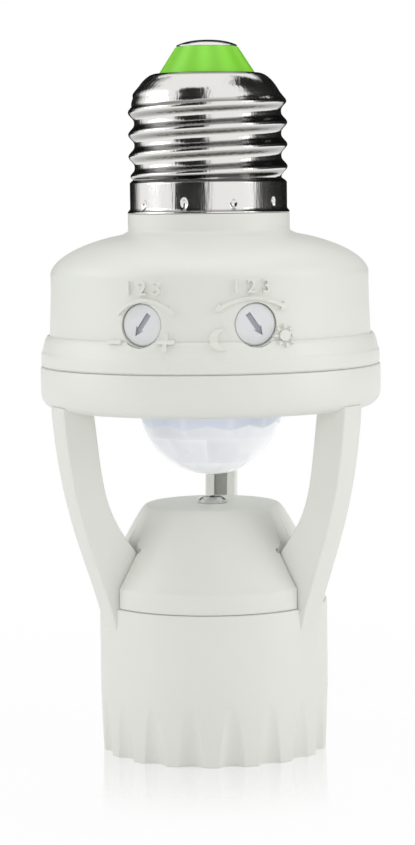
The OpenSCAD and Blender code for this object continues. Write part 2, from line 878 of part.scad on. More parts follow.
module arm_frame() {
    head_seat_z = ring_z + tap_head[1] + 0.6;
    color("ivory")
        difference() {
            union() {
                ring_solid();
                difference() {
                    skirt_solid();
                    flutes();
                }
                for (turn = arm_turns)
                    rotate([0, 0, turn])
                        arm_solid();
                around(housing_screw_turns, housing_screw_r)
                    translate([0, 0, floor_top_z - eps])
                        cylinder(r = housing_pad_r, h = housing_pad_h + eps);
                around(lens_screw_turns, lens_screw_r)
                    translate([0, 0, floor_top_z - eps])
                        cylinder(r = lens_pad_r, h = lens_flange_h - seat_gap + eps);
            }
            for (turn = arm_turns)
                rotate([0, 0, turn])
                    arm_channel();
            around(housing_screw_turns, housing_screw_r) {
                translate([0, 0, ring_z - 1])
                    cylinder(r = tap_head[0] + 0.3, h = head_seat_z - ring_z + 1);
                translate([0, 0, ring_z])
                    cylinder(r = tap_head[2] + 0.2, h = floor_h + housing_pad_h + 1);
            }
            around(lens_screw_turns, lens_screw_r)
                translate([0, 0, floor_top_z + lens_flange_h + holder_h - lens_screw_l - 0.2])
                    cylinder(r = small_head[2] + shaft_gap, h = lens_screw_l + 1);
        }
}

module lamp_wires() {
    inset = [-arm_wall - wire_d / 2 - 0.3, 0];
    run = [for (p = shifted(arm_outside(), inset)) if (p[1] > skirt_h + 6) p];
    foot = run[len(run) - 1];
    color("white")
        for (turn = wire_turns)
            rotate([0, 0, turn])
                plane_wire(concat(
                    [[board_screw_r, board_z - seat_gap]],
                    curve([board_screw_r, board_z - 1], [board_screw_r, floor_top_z + 0.5],
                          run[0] + [0.1, 4.5], run[0] + [0.05, 1], 8),
                    run,
                    curve(foot + [-0.35, -0.8], foot + [-1.5, -3.5],
                          [strip_start + 5, base_top_z + 2.5],
                          [strip_start + 1.5, base_top_z + 2.5], 8),
                    [[strip_start + seat_gap, base_top_z + 2.5]]), wire_d / 2);
}

// Socket

module socket_insert() {
    color("gainsboro")
        difference() {
            rotate_extrude()
                polygon([
                    [entry_r, 1], [insert_r, 1], [insert_r, insert_top_z],
                    [core_r, insert_top_z], [core_r, base_top_z],
                    [post_r, base_top_z], [post_r, post_top_z], [0, post_top_z],
                    [0, base_z], [shell_bore_r, base_z], [shell_bore_r, shell_rise],
                    [entry_r, shell_rise]
                ]);
            translate([0, 0, cover_head_z - cover_screw_l - 0.5])
                cylinder(r = tap_head[2] + shaft_gap, h = cover_screw_l + 1);
            around(rivet_turns, rivet_place)
                translate([0, 0, base_z - 1])
                    cylinder(r = rivet_r + shaft_gap, h = base_h + 2);
        }
}

// A hole for a rivet in the strips under and over the base
module strip_hole(z) {
    translate([rivet_place, 0, z - 1])
        cylinder(r = rivet_r + shaft_gap, h = 3);
}

module lamp_shell() {
    tab_r = shell_minor_r + 0.7;
    color("goldenrod") {
        difference() {
            union() {
                translate([0, 0, shell_rise])
                    cylinder(r = shell_r, h = shell_h);
                rotate([0, 0, rivet_turns[1]])
                    translate([tab_r, -strip_w / 2, shell_end_z - 0.5])
                        cube([strip_t, strip_w, base_z - shell_end_z + 0.5]);
                rotate([0, 0, rivet_turns[1]])
                    translate([strip_end, -strip_w / 2, base_z - strip_t])
                        cube([tab_r + strip_t - strip_end, strip_w, strip_t]);
            }
            intersection() {
                threaded_bar(shell_rise - 1, shell_end_z + 1, shell_minor_r, shell_major_r,
                             0, 36, 0.5);
                translate([0, 0, shell_rise - 2])
                    cylinder(r = 2 * shell_r, h = shell_h + 2 + eps);
            }
            rotate([0, 0, rivet_turns[1]])
                strip_hole(base_z - strip_t);
        }
    }
}

module lamp_contact() {
    low_z = base_z - tongue_drop;
    under_z = base_z - strip_t;
    color("goldenrod")
        rotate([0, 0, rivet_turns[0]])
            difference() {
                upright([
                    [strip_start, base_z], [strip_end - 0.1, base_z], [1.4, low_z + strip_t],
                    [-1.6, low_z + strip_t], [-2.9, low_z + strip_t + 0.6],
                    [-2.9, low_z + 0.55], [-1.5, low_z], [1.3, low_z],
                    [strip_end - 0.1, under_z], [strip_start, under_z]
                ], strip_w);
                strip_hole(under_z);
            }
}

module wire_terminals() {
    color("goldenrod")
        for (turn = rivet_turns)
            rotate([0, 0, turn])
                difference() {
                    upright([
                        [strip_end, base_top_z], [strip_start, base_top_z],
                        [strip_start, base_top_z + terminal_h],
                        [strip_start - strip_t, base_top_z + terminal_h],
                        [strip_start - strip_t, base_top_z + strip_t],
                        [strip_end, base_top_z + strip_t]
                    ], strip_w);
                    strip_hole(base_top_z);
                }
}

module contact_rivets() {
    head_r = rivet_r + 0.6;
    head_h = 0.5;
    low_z = base_z - strip_t;
    high_z = base_top_z + strip_t;
    color("silver")
        around(rivet_turns, rivet_place) {
            translate([0, 0, low_z - head_h])
                cylinder(r = head_r, h = head_h);
            translate([0, 0, low_z - eps])
                cylinder(r = rivet_r, h = high_z - low_z + 2 * eps);
            translate([0, 0, high_z])
                cylinder(r = head_r, h = head_h);
        }
}

// Outside of the cover's cone, from the band up to the edge of its flat top
function cover_curve(inset, drop) = curve(
    [cover_r - inset, skirt_h + cover_band_h - inset * 0.4],
    [cover_r - 0.52 * cover_cone - inset, skirt_h + cover_band_h + 3.7 - drop],
    [cover_top_r + 0.14 * cover_cone - inset, cover_top_z - 5 - drop],
    [cover_top_r - inset, cover_top_z - 0.6 - drop], 12);

module socket_cover() {
    seat_z = skirt_h + seat_gap;
    notch_r = arm_tip_r - notch_gap - 0.1;
    notch_top_z = arm_tip_z + notch_gap;
    lean = atan((arm_tip_r - cover_top_r) / (cover_top_z - arm_tip_z));
    valley_r = arm_w / 2 + notch_gap;
    color("ivory")
        difference() {
            rotate_extrude()
                polygon(concat(
                    [[0, seat_z], [cover_r, seat_z]],
                    cover_curve(0, 0),
                    [[cover_top_r - 0.6, cover_top_z], [0, cover_top_z]]));
            rotate_extrude()
                polygon(concat(
                    [[0, seat_z - 1], [cover_r - cover_wall, seat_z - 1]],
                    cover_curve(cover_wall, cover_top_h),
                    [[0, cover_top_z - cover_top_h]]));
            // Notches that straddle the arms, each with a shallow valley above it
            for (turn = arm_turns)
                rotate([0, 0, turn]) {
                    translate([notch_r, -arm_w / 2 - notch_gap, seat_z - 1])
                        cube([cover_r, arm_w + 2 * notch_gap, notch_top_z - seat_z + 1]);
                    translate([arm_tip_r, 0, arm_tip_z])
                        rotate([0, -lean, 0])
                            translate([valley_r - valley_depth, 0, -2])
                                cylinder(r = valley_r, h = cover_h);
                }
            translate([0, 0, cover_head_z])
                cylinder(r = tap_head[0] + 0.25, h = 3);
            translate([0, 0, cover_top_z - 5])
                cylinder(r = tap_head[2] + 0.2, h = 6);
        }
}

// Screws

module cover_screw() {
    color("silver")
        translate([0, 0, cover_head_z])
            pan_screw(tap_head, cover_screw_l);
}

module housing_screws() {
    color("silver")
        around(housing_screw_turns, housing_screw_r)
            translate([0, 0, ring_z + tap_head[1] + 0.6])
                rotate([180, 0, 0])
                    pan_screw(tap_head, housing_screw_l);
}

module board_screws() {
    color("silver")
        around(board_screw_turns, board_screw_r)
            translate([0, 0, board_z])
                rotate([180, 0, 0])
                    pan_screw(small_head, board_screw_l);
}

module lens_screws() {
    color("silver")
        around(lens_screw_turns, lens_screw_r)
            translate([0, 0, floor_top_z + lens_flange_h + holder_h])
                pan_screw(small_head, lens_screw_l);
}

cap_shell();
cap_insulator();
centre_contact();
cap_wires();
housing_top();
time_knob();
light_knob();
time_trimmer();
light_trimmer();
circuit_board();
control_chip();
relay();
film_capacitor();
filter_capacitor();
rectifier_diodes();
motion_sensor();
light_cell();
sensor_lens();
lens_holder();
arm_frame();
lamp_wires();
socket_insert();
lamp_shell();
lamp_contact();
wire_terminals();
contact_rivets();
socket_cover();
cover_screw();
housing_screws();
board_screws();
lens_screws();
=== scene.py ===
"""Looks of a motion sensor lamp holder: nickel screw cap, white moulded housing with two turned
settings, domed lens, channelled arms and fluted lamp socket, on a plain white floor.
Everything is in metres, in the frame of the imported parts."""

import math

import bmesh
import bpy
from bpy.props import FloatProperty, FloatVectorProperty, IntProperty, PointerProperty, StringProperty
from mathutils import Matrix, Vector
from mathutils.geometry import interpolate_bezier


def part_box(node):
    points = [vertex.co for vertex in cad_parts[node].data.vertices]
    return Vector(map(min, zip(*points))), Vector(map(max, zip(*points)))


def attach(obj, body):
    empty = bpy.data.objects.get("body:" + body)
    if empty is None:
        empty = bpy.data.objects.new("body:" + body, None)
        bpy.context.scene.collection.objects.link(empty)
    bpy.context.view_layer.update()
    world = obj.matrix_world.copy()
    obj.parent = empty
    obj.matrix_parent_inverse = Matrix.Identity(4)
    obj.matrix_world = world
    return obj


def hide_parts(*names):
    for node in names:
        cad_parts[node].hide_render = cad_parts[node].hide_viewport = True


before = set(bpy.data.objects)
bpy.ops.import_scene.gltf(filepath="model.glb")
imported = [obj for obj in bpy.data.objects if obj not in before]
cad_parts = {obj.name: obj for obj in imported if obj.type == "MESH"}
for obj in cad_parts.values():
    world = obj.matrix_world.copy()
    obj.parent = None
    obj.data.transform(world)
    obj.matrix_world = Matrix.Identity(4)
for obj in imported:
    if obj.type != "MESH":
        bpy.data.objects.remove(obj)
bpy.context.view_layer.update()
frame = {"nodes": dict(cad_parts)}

bl_info = {
    "name": "Motion sensor lamp holder",
    "version": (1, 0, 0),
    "blender": (4, 5, 0),
    "location": "View3D > Sidebar > Lamp Holder",
    "description": "Builds the visible pieces, finishes and studio of a motion sensor lamp holder",
    "category": "Object",
}

MM = 0.001
FULL_TURN = 2 * math.pi


# Sizes and colours that a user would change

def size(name, description, value):
    """A length property, its default in millimetres."""
    return FloatProperty(name=name, description=description, default=value * MM,
                         unit="LENGTH", precision=5)


def measured(name, description, value):
    """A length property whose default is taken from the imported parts, in metres."""
    return FloatProperty(name=name, description=description, default=value,
                         unit="LENGTH", precision=5)


def colour(name, description, value):
    """A colour property, its default in linear light."""
    return FloatVectorProperty(name=name, description=description, default=value,
                               subtype="COLOR", size=3, min=0, max=1)


class CapSizes(bpy.types.PropertyGroup):
    """Sizes of the screw cap"""
    rim_z: measured("Rim height", "Height of the cap's rim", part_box("cap_shell")[0].z)
    rim_r: measured("Rim radius", "Radius of the flared rim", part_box("cap_shell")[1].x)
    top_z: measured("Top height", "Height of the shell's mouth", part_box("cap_shell")[1].z)
    crest_r: size("Crest radius", "Radius of the thread's crests", 13.15)
    root_r: size("Root radius", "Radius of the thread's roots", 12.15)
    pitch: size("Pitch", "Rise of the thread in one turn", 3.62)
    skirt_r: size("Skirt radius", "Radius of the plain skirt", 13)
    skirt_h: size("Skirt height", "Height of the plain skirt", 5.4)
    thread_h: size("Thread height", "Height from the skirt to the shoulder", 12.5)
    shoulder_r: size("Shoulder radius", "Radius where the shoulder starts", 12.6)
    mouth_r: size("Mouth radius", "Radius of the shell's mouth", 8.2)
    sheet: size("Sheet", "Thickness of the cap's sheet", 0.35)
    flare: size("Flare", "How far the rim flares out", 0.4)
    dent_w: size("Dent width", "Width of a punched dent", 1.35)
    dent_h: size("Dent height", "Height of a punched dent", 1.95)
    dent_depth: size("Dent depth", "Depth of a punched dent", 0.33)
    dent_rise: size("Dent rise", "Height of the dents above the rim", 1.6)
    dent_count: IntProperty(name="Dents", description="Number of punched dents", default=10, min=2)
    insulator_z: measured("Insulator top", "Height of the insulator's flat top",
                          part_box("cap_insulator")[1].z)
    insulator_r: size("Insulator top radius", "Radius of the insulator's flat top", 5.1)
    contact_r: measured("Contact radius", "Radius of the centre contact",
                        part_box("centre_contact")[1].x)
    contact_z: measured("Contact top", "Height of the centre contact",
                        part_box("centre_contact")[1].z)


class HousingSizes(bpy.types.PropertyGroup):
    """Sizes of the sensor housing"""
    seam_z: size("Seam height", "Height of the seam between ring and flange", 64.3)
    flange_r: measured("Flange radius", "Radius of the flange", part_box("housing_top")[1].x)
    flange_h: size("Flange height", "Height of the flange", 3.9)
    drum_r: size("Drum radius", "Radius of the drum at its top", 26.35)
    drum_h: size("Drum height", "Height of the drum", 8.2)
    draft: size("Draft", "Growth of the drum's radius down to the flange", 0.3)
    crown_h: size("Crown height", "Height of the domed crown", 9.7)
    crease_h: size("Crease height", "Height above the drum of the soft crease in the crown", 3.2)
    neck_r: size("Neck radius", "Radius of the neck", 13.4)
    wall: size("Wall", "Wall of the housing", 1.6)
    lip_r: size("Lip radius", "Radius of the lip that enters the ring", 26.4)
    lip_h: size("Lip height", "Length of the lip that enters the ring", 2)
    mark_rise: size("Mark height", "How far the raised marks stand out", 0.6)
    mark_w: size("Mark stroke", "Width of a raised stroke", 0.58)


class KnobSizes(bpy.types.PropertyGroup):
    """Sizes of the two turned settings"""
    height: size("Height", "Height of the knobs' axis", 72.05)
    turn: FloatProperty(name="Angle", description="Angle of each knob from the front",
                        default=math.radians(20), subtype="ANGLE")
    end_turn: FloatProperty(name="End of range", description="Angle from straight down at the end",
                            default=math.radians(35), subtype="ANGLE")
    radius: size("Radius", "Radius of a knob", 3.25)
    flange_r: size("Step radius", "Radius of a knob behind its face", 3.38)
    hole_r: size("Hole radius", "Radius of the hole round a knob", 3.45)
    face_r: size("Face", "Distance of a knob's face from the axis", 26.05)
    back_r: size("Back", "Distance of a knob's back from the axis", 22.25)
    shaft_r: size("Shaft radius", "Radius of a knob's shaft", 1.5)
    shaft_end: size("Shaft end", "Distance of the shaft's end from the axis", 17.55)
    arrow_l: size("Arrow length", "Length of the arrow slot", 4.2)
    arrow_w: size("Arrow tail", "Width of the arrow's tail", 0.85)
    arrow_head: size("Arrow head", "Width and length of the arrow's head", 1.5)
    arrow_depth: size("Arrow depth", "Depth of the arrow slot", 0.6)


class FrameSizes(bpy.types.PropertyGroup):
    """Sizes of the ring, the arms and the socket's skirt"""
    ring_r: measured("Ring radius", "Radius of the ring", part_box("arm_frame")[1].x)
    ring_z: size("Ring height", "Height of the ring's underside", 57.3)
    ring_top: measured("Ring top", "Height of the ring's top edge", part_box("arm_frame")[1].z)
    ring_wall: size("Ring wall", "Wall of the ring", 1.75)
    floor_h: size("Floor", "Thickness of the ring's floor", 1.8)
    fillet: size("Fillet", "Fillet under the ring", 2.7)
    hole_r: size("Lens hole", "Radius of the lens's hole", 12.2)
    arm_w: size("Arm width", "Width of an arm", 5.3)
    arm_wall: size("Arm wall", "Thickness of an arm's outer wall", 1.4)
    channel_w: size("Channel width", "Width of the channel in an arm", 2.3)
    arm_depth: size("Arm depth", "Radial thickness of an arm under the ring", 5.45)
    root_z: size("Arm root", "Height at which an arm meets the skirt's side", 21.4)
    tip_r: size("Arm tip radius", "Radius of an arm's inner edge at the cover", 15.1)
    tip_z: size("Arm tip height", "Height of an arm's tip over the cover", 34)
    skirt_r: size("Skirt radius", "Radius of the socket's skirt", 19.05)
    skirt_h: size("Skirt height", "Height of the socket's skirt", 24.8)
    bore_r: size("Skirt bore", "Bore of the socket's skirt", 17)
    ledge_r: size("Ledge radius", "Radius of the ledge inside the skirt", 14.8)
    ledge_h: size("Ledge height", "Height of the ledge", 2.1)
    draft: size("Skirt draft", "Loss of the skirt's radius at its rim", 0.3)
    flute_count: IntProperty(name="Flutes", description="Number of grip flutes", default=18, min=6)
    flute_h: size("Flute height", "Height of the flutes", 9)
    flute_depth: size("Flute depth", "Depth of a flute at the rim", 1.25)
    flute_r: size("Flute radius", "Radius of a flute's hollow", 2.6)


class CoverSizes(bpy.types.PropertyGroup):
    """Sizes of the socket's conical cover"""
    radius: measured("Radius", "Radius of the cover's band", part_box("socket_cover")[1].x)
    low_z: measured("Bottom", "Height of the cover's lower edge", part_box("socket_cover")[0].z)
    top_z: measured("Top", "Height of the cover's flat top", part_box("socket_cover")[1].z)
    band_h: size("Band", "Height of the cover's band", 3.4)
    cone: size("Cone", "Loss of the cover's radius up to its rounded edge", 6.6)
    wall: size("Wall", "Wall of the cover", 1.5)
    rounding: size("Rounding", "Height of the rounded edge round the cover's top", 1.2)
    top_h: size("Top wall", "Thickness of the cover's top", 1.8)
    notch_gap: size("Notch gap", "Gap between an arm and its notch", 0.3)
    notch_top: size("Notch top", "Gap between an arm's tip and the top of its notch", 1.3)
    valley: size("Valley", "Depth of the valley above a notch", 0.6)
    recess_r: size("Recess radius", "Radius of the screw's recess", 2.55)
    screw_z: size("Screw seat", "Height of the screw head's seat", 40.9)


class LensSizes(bpy.types.PropertyGroup):
    """Sizes of the sensor's lens"""
    low_z: measured("Bottom", "Height of the lens's lowest point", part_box("sensor_lens")[0].z)
    top_z: measured("Top", "Height of the lens's flange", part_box("sensor_lens")[1].z)
    rim_r: measured("Flange radius", "Radius of the lens's flange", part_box("sensor_lens")[1].x)
    radius: size("Radius", "Outer radius of the lens", 12)
    wall: size("Wall", "Wall of the lens", 1.1)
    flange_h: size("Flange", "Thickness of the lens's flange", 1.2)
    facets: IntProperty(name="Facets", description="Facets round the lens", default=10, min=5)
    first_row: FloatProperty(name="First row", description="Angle from the pole to the first row",
                             default=math.radians(12), subtype="ANGLE")
    row: FloatProperty(name="Row", description="Angle that a row of facets spans",
                       default=math.radians(26), subtype="ANGLE")


class Finishes(bpy.types.PropertyGroup):
    """Colours of the finishes"""
    plastic: colour("Plastic", "Off-white moulded plastic", (0.775, 0.785, 0.735))
    knob: colour("Knob", "Bluish white plastic of the knobs", (0.76, 0.77, 0.78))
    # Painted shade: this grey stands in for the shade inside the knobs' arrow slots.
    arrow: colour("Arrow", "Grey in the arrow slots", (0.52, 0.52, 0.57))
    nickel: colour("Nickel", "Plated shell of the cap", (0.80, 0.79, 0.77))
    green: colour("Green", "Green insulator", (0.23, 0.69, 0.035))
    contact: colour("Contact", "Dark centre contact", (0.05, 0.05, 0.05))
    lens: colour("Lens", "Milky lens", (0.92, 0.935, 0.985))
    liner: colour("Liner", "White liner of the socket", (0.78, 0.78, 0.75))
    brass: colour("Brass", "Brass of the lamp's contacts", (0.78, 0.57, 0.27))
    steel: colour("Steel", "Steel of the screws", (0.62, 0.62, 0.60))


class Studio(bpy.types.PropertyGroup):
    """Camera and light"""
    distance: size("Distance", "Camera's distance from the axis", 428)
    eye: size("Eye height", "Camera's height above the floor", 93.3)
    azimuth: FloatProperty(name="Azimuth", description="Camera's turn to the right",
                           default=math.radians(4.25), subtype="ANGLE")
    pitch: FloatProperty(name="Pitch", description="Camera's tilt down",
                         default=math.radians(5.19), subtype="ANGLE")
    roll: FloatProperty(name="Roll", description="Camera's roll",
                        default=math.radians(0.72), subtype="ANGLE")
    pan: FloatProperty(name="Pan", description="Camera's small turn to the left",
                       default=math.radians(0.085), subtype="ANGLE")
    lens: FloatProperty(name="Focal length", description="Camera's focal length in millimetres",
                        default=109.7)


class HolderSettings(bpy.types.PropertyGroup):
    """All sizes of the lamp holder"""
    cap: PointerProperty(type=CapSizes)
    housing: PointerProperty(type=HousingSizes)
    knobs: PointerProperty(type=KnobSizes)
    frame: PointerProperty(type=FrameSizes)
    cover: PointerProperty(type=CoverSizes)
    lens: PointerProperty(type=LensSizes)
    finish: PointerProperty(type=Finishes)
    studio: PointerProperty(type=Studio)
    marks: StringProperty(name="Numbers", description="Plain numbers over each knob",
                          default="1 2 3")


ARM_TURNS = [math.radians(a) for a in (90, 210, 330)]
HOUSING_SCREW_TURNS = [math.radians(a) for a in (30, 150, 270)]
BOARD_SCREW_TURNS = [math.radians(a) for a in (0, 90, 180)]
THREAD_START = math.radians(209)
THREAD_RUNOUT = 3.2 * MM
DENT_START = math.radians(22.5 - 90)
FLUTE_START = math.radians(22.5)
HOUSING_SCREW_R = 22.6 * MM
BOARD_SCREW_R = 21.2 * MM


def settings():
    return bpy.context.scene.lamp_holder


# Outlines, as lists of (radius, height)

def curve(a, b, c, d, count=16):
    """Points of a curve from a to d that leaves towards b and arrives from c."""
    corners = [Vector((p[0], p[1], 0)) for p in (a, b, c, d)]
    return [(p.x, p.y) for p in interpolate_bezier(*corners, count + 1)]


def eased(a, corner, b, radius, count=4):
    """A corner between the directions of a and b, rounded over a radius."""
    middle = Vector(corner)
    start = middle + (Vector(a) - middle).normalized() * radius
    end = middle + (Vector(b) - middle).normalized() * radius
    return curve(start, start.lerp(middle, 0.6), end.lerp(middle, 0.6), end, count)


def rounded(points, radii, closed=True):
    """The outline with its corners rounded; a radius of 0 keeps a corner as it is."""
    result = []
    for i, point in enumerate(points):
        ends = not closed and i in (0, len(points) - 1)
        if radii[i] and not ends:
            result += eased(points[i - 1], point, points[(i + 1) % len(points)], radii[i])
        else:
            result.append(tuple(point))
    return result


def divided(points, step):
    """The outline with extra points, so that none of its stretches is longer than step."""
    result = [points[0]]
    for a, b in zip(points, points[1:]):
        count = max(1, math.ceil((Vector(b) - Vector(a)).length / step))
        result += [tuple(Vector(a).lerp(Vector(b), k / count)) for k in range(1, count + 1)]
    return result


def radius_at(points, z):
    """Radius of an outline at a height."""
    for (r0, z0), (r1, z1) in zip(points, points[1:]):
        if min(z0, z1) <= z <= max(z0, z1) and z0 != z1:
            return r0 + (r1 - r0) * (z - z0) / (z1 - z0)
    return points[-1][0]


def ease(t):
    t = max(0.0, min(1.0, t))
    return t * t * (3 - 2 * t)


# Meshes

def lathe(points, steps, closed=True):
    """A mesh spun from an outline; an open outline starts and ends on the axis."""
    bm = bmesh.new()
    verts = [bm.verts.new((r, 0, z)) for r, z in points]
    pairs = list(zip(verts, verts[1:]))
    if closed:
        pairs.append((verts[-1], verts[0]))
    edges = [bm.edges.new(pair) for pair in pairs]
    bmesh.ops.spin(bm, geom=verts + edges, axis=(0, 0, 1), cent=(0, 0, 0), angle=FULL_TURN,
                   steps=steps, use_merge=True)
    bmesh.ops.remove_doubles(bm, verts=bm.verts[:], dist=1e-7)
    bmesh.ops.recalc_face_normals(bm, faces=bm.faces[:])
    return bm


def prism(points, width):
    """A closed outline of (x, z) given a width along Y, centred on the axis."""
    bm = bmesh.new()
    face = bm.faces.new([bm.verts.new((x, -width / 2, z)) for x, z in points])
    moved = bmesh.ops.extrude_face_region(bm, geom=[face])["geom"]
    bmesh.ops.translate(bm, vec=(0, width, 0), verts=[v for v in moved if isinstance(v, bmesh.types.BMVert)])
    bmesh.ops.recalc_face_normals(bm, faces=bm.faces[:])
    return bm


def rod(radius, low, high, steps=48, top=None):
    """A round rod along Z."""
    bm = bmesh.new()
    bmesh.ops.create_cone(bm, cap_ends=True, segments=steps, radius1=radius,
                          radius2=radius if top is None else top, depth=high - low,
                          matrix=Matrix.Translation((0, 0, (low + high) / 2)))
    return bm


def moved(bm, matrix):
    bmesh.ops.transform(bm, matrix=matrix, verts=bm.verts[:])
    return bm


def joined(meshes):
    """One bmesh holding all the given ones."""
    result = bmesh.new()
    for bm in meshes:
        data = bpy.data.meshes.new("part")
        bm.to_mesh(data)
        bm.free()
        result.from_mesh(data)
        bpy.data.meshes.remove(data)
    return result


def around(turns, make):
    """Copies of what make() gives, at angles round the axis."""
    return [moved(make(), Matrix.Rotation(turn, 4, "Z")) for turn in turns]


def to_object(bm, name, sharp=38):
    """An object at the origin, smooth but for edges sharper than an angle in degrees."""
    data = bpy.data.meshes.new(name)
    bm.to_mesh(data)
    bm.free()
    piece = bpy.data.objects.new(name, data)
    bpy.context.scene.collection.objects.link(piece)
    smooth(piece, sharp)
    return piece


def smooth(piece, sharp=38):
    piece.data.polygons.foreach_set("use_smooth", [True] * len(piece.data.polygons))
    piece.data.set_sharp_from_angle(angle=math.radians(sharp))


def combine(piece, other, operation="DIFFERENCE", sharp=38):
    """Cuts other from the piece, or unites them, and removes other."""
    if isinstance(other, bmesh.types.BMesh):
        other = to_object(other, "tool")
    modifier = piece.modifiers.new("combine", "BOOLEAN")
    modifier.solver = "EXACT"
    modifier.use_self = operation == "UNION"
    modifier.operation = operation
    modifier.object = other
    depsgraph = bpy.context.evaluated_depsgraph_get()
    result = bpy.data.meshes.new_from_object(piece.evaluated_get(depsgraph), depsgraph=depsgraph)
    piece.modifiers.clear()
    old = piece.data
    result.name = piece.name
    piece.data = result
    bpy.data.meshes.remove(old)
    bpy.data.objects.remove(other)
    smooth(piece, sharp)
    return piece


def finish(piece, material, slot, body="holder", nodes=()):
    """Gives a piece its material and its body, and hides the imported nodes that it stands for; its slot is not used.
    """
    if not piece.data.materials:
        piece.data.materials.append(material)
    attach(piece, body)
    if nodes:
        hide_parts(*nodes)
    return piece


# Shader groups

def new_group(name, inputs, outputs):
    """A shader node group with number or colour sockets."""
    group = bpy.data.node_groups.new(name, "ShaderNodeTree")
    for label, kind, default in inputs:
        socket = group.interface.new_socket(name=label, in_out="INPUT", socket_type=kind)
        if default is not None:
            socket.default_value = default
    for label, kind in outputs:
        group.interface.new_socket(name=label, in_out="OUTPUT", socket_type=kind)
    return group, group.nodes.new("NodeGroupInput"), group.nodes.new("NodeGroupOutput")


def math_node(tree, operation, a, b=None, clamp=False):
    node = tree.nodes.new("ShaderNodeMath")
    node.operation = operation
    node.use_clamp = clamp
    for socket, value in zip(node.inputs, (a, b)):
        if value is None:
            continue
        if isinstance(value, bpy.types.NodeSocket):
            tree.links.new(value, socket)
        else:
            socket.default_value = value
    return node.outputs[0]


def noise(tree, vector, scale, detail=3.0, roughness=0.5):
    node = tree.nodes.new("ShaderNodeTexNoise")
    node.inputs["Scale"].default_value = scale
    node.inputs["Detail"].default_value = detail
    node.inputs["Roughness"].default_value = roughness
    tree.links.new(vector, node.inputs["Vector"])
    return node.outputs["Fac"]


def ramp(tree, value, low, high, out_low=0.0, out_high=1.0):
    node = tree.nodes.new("ShaderNodeMapRange")
    node.interpolation_type = "SMOOTHSTEP"
    tree.links.new(value, node.inputs["Value"])
    for label, number in (("From Min", low), ("From Max", high), ("To Min", out_low),
                          ("To Max", out_high)):
        node.inputs[label].default_value = number
    return node.outputs["Result"]


def mix_colour(tree, factor, a, b, blend="MIX"):
    node = tree.nodes.new("ShaderNodeMix")
    node.data_type = "RGBA"
    node.blend_type = blend
    for socket, value in ((node.inputs["Factor"], factor), (node.inputs[6], a), (node.inputs[7], b)):
        if isinstance(value, bpy.types.NodeSocket):
            tree.links.new(value, socket)
        elif isinstance(value, (int, float)):
            socket.default_value = value
        else:
            socket.default_value = (*value[:3], 1)
    return node.outputs[2]


def surface_group():
    """Soft clouds and fine grain for any finish: a tint, a roughness and a bump height."""
    name = "moulded_surface"
    if name in bpy.data.node_groups:
        return bpy.data.node_groups[name]
    number, tint = "NodeSocketFloat", "NodeSocketColor"
    group, inputs, outputs = new_group(
        name,
        [("Vector", "NodeSocketVector", None), ("Color", tint, None), ("Variation", number, 0.03),
         ("Roughness", number, 0.4), ("Spread", number, 0.08), ("Grain Scale", number, 2500.0)],
        [("Color", tint), ("Roughness", number), ("Height", number)])
    vector = inputs.outputs["Vector"]
    clouds = noise(group, vector, 90.0, 4.0, 0.55)
    grain_node = group.nodes.new("ShaderNodeTexNoise")
    grain_node.inputs["Detail"].default_value = 2.0
    group.links.new(vector, grain_node.inputs["Vector"])
    group.links.new(inputs.outputs["Grain Scale"], grain_node.inputs["Scale"])
    grain = grain_node.outputs["Fac"]
    both = math_node(group, "ADD", math_node(group, "MULTIPLY", clouds, 0.7),
                     math_node(group, "MULTIPLY", grain, 0.3))
    centred = math_node(group, "MULTIPLY", math_node(group, "SUBTRACT", both, 0.5), 2.0)
    shade = math_node(group, "ADD", 1.0,
                      math_node(group, "MULTIPLY", centred, inputs.outputs["Variation"]))
    scale = group.nodes.new("ShaderNodeVectorMath")
    scale.operation = "SCALE"
    group.links.new(inputs.outputs["Color"], scale.inputs[0])
    group.links.new(shade, scale.inputs["Scale"])
    group.links.new(scale.outputs[0], outputs.inputs["Color"])
    rough = math_node(group, "ADD", inputs.outputs["Roughness"],
                      math_node(group, "MULTIPLY", centred, inputs.outputs["Spread"]), clamp=True)
    group.links.new(rough, outputs.inputs["Roughness"])
    group.links.new(grain, outputs.inputs["Height"])
    return group


def new_material(name):
    """An empty material with a Principled shader; returns the material, its tree and the shader."""
    material = bpy.data.materials.new(name)
    material.use_nodes = True
    tree = material.node_tree
    return material, tree, tree.nodes["Principled BSDF"]


def dressed(name, tint, roughness, variation=0.03, spread=0.08, grain=2500.0, bump=0.004,
            metallic=0.0, coat=0.0, colour_from=None, height_from=None):
    """A finish: colour with soft clouds and grain, uneven roughness and a fine bump.
    colour_from(tree, position) may give the colour, height_from(tree, position) more height."""
    material, tree, shader = new_material(name)
    position = tree.nodes.new("ShaderNodeTexCoord").outputs["Object"]
    group = tree.nodes.new("ShaderNodeGroup")
    group.node_tree = surface_group()
    tree.links.new(position, group.inputs["Vector"])
    group.inputs["Variation"].default_value = variation
    group.inputs["Roughness"].default_value = roughness
    group.inputs["Spread"].default_value = spread
    group.inputs["Grain Scale"].default_value = grain
    if colour_from:
        tree.links.new(colour_from(tree, position), group.inputs["Color"])
    else:
        group.inputs["Color"].default_value = (*tint, 1)
    tree.links.new(group.outputs["Color"], shader.inputs["Base Color"])
    tree.links.new(group.outputs["Roughness"], shader.inputs["Roughness"])
    height = group.outputs["Height"]
    if height_from:
        height = math_node(tree, "ADD", height, height_from(tree, position))
    relief = tree.nodes.new("ShaderNodeBump")
    relief.inputs["Strength"].default_value = 1.0
    relief.inputs["Distance"].default_value = bump * MM
    tree.links.new(height, relief.inputs["Height"])
    tree.links.new(relief.outputs["Normal"], shader.inputs["Normal"])
    shader.inputs["Metallic"].default_value = metallic
    shader.inputs["Coat Weight"].default_value = coat
    return material


# Finishes

def plastic_white():
    return dressed("plastic_white", settings().finish.plastic, 0.42, variation=0.02, bump=0.003)


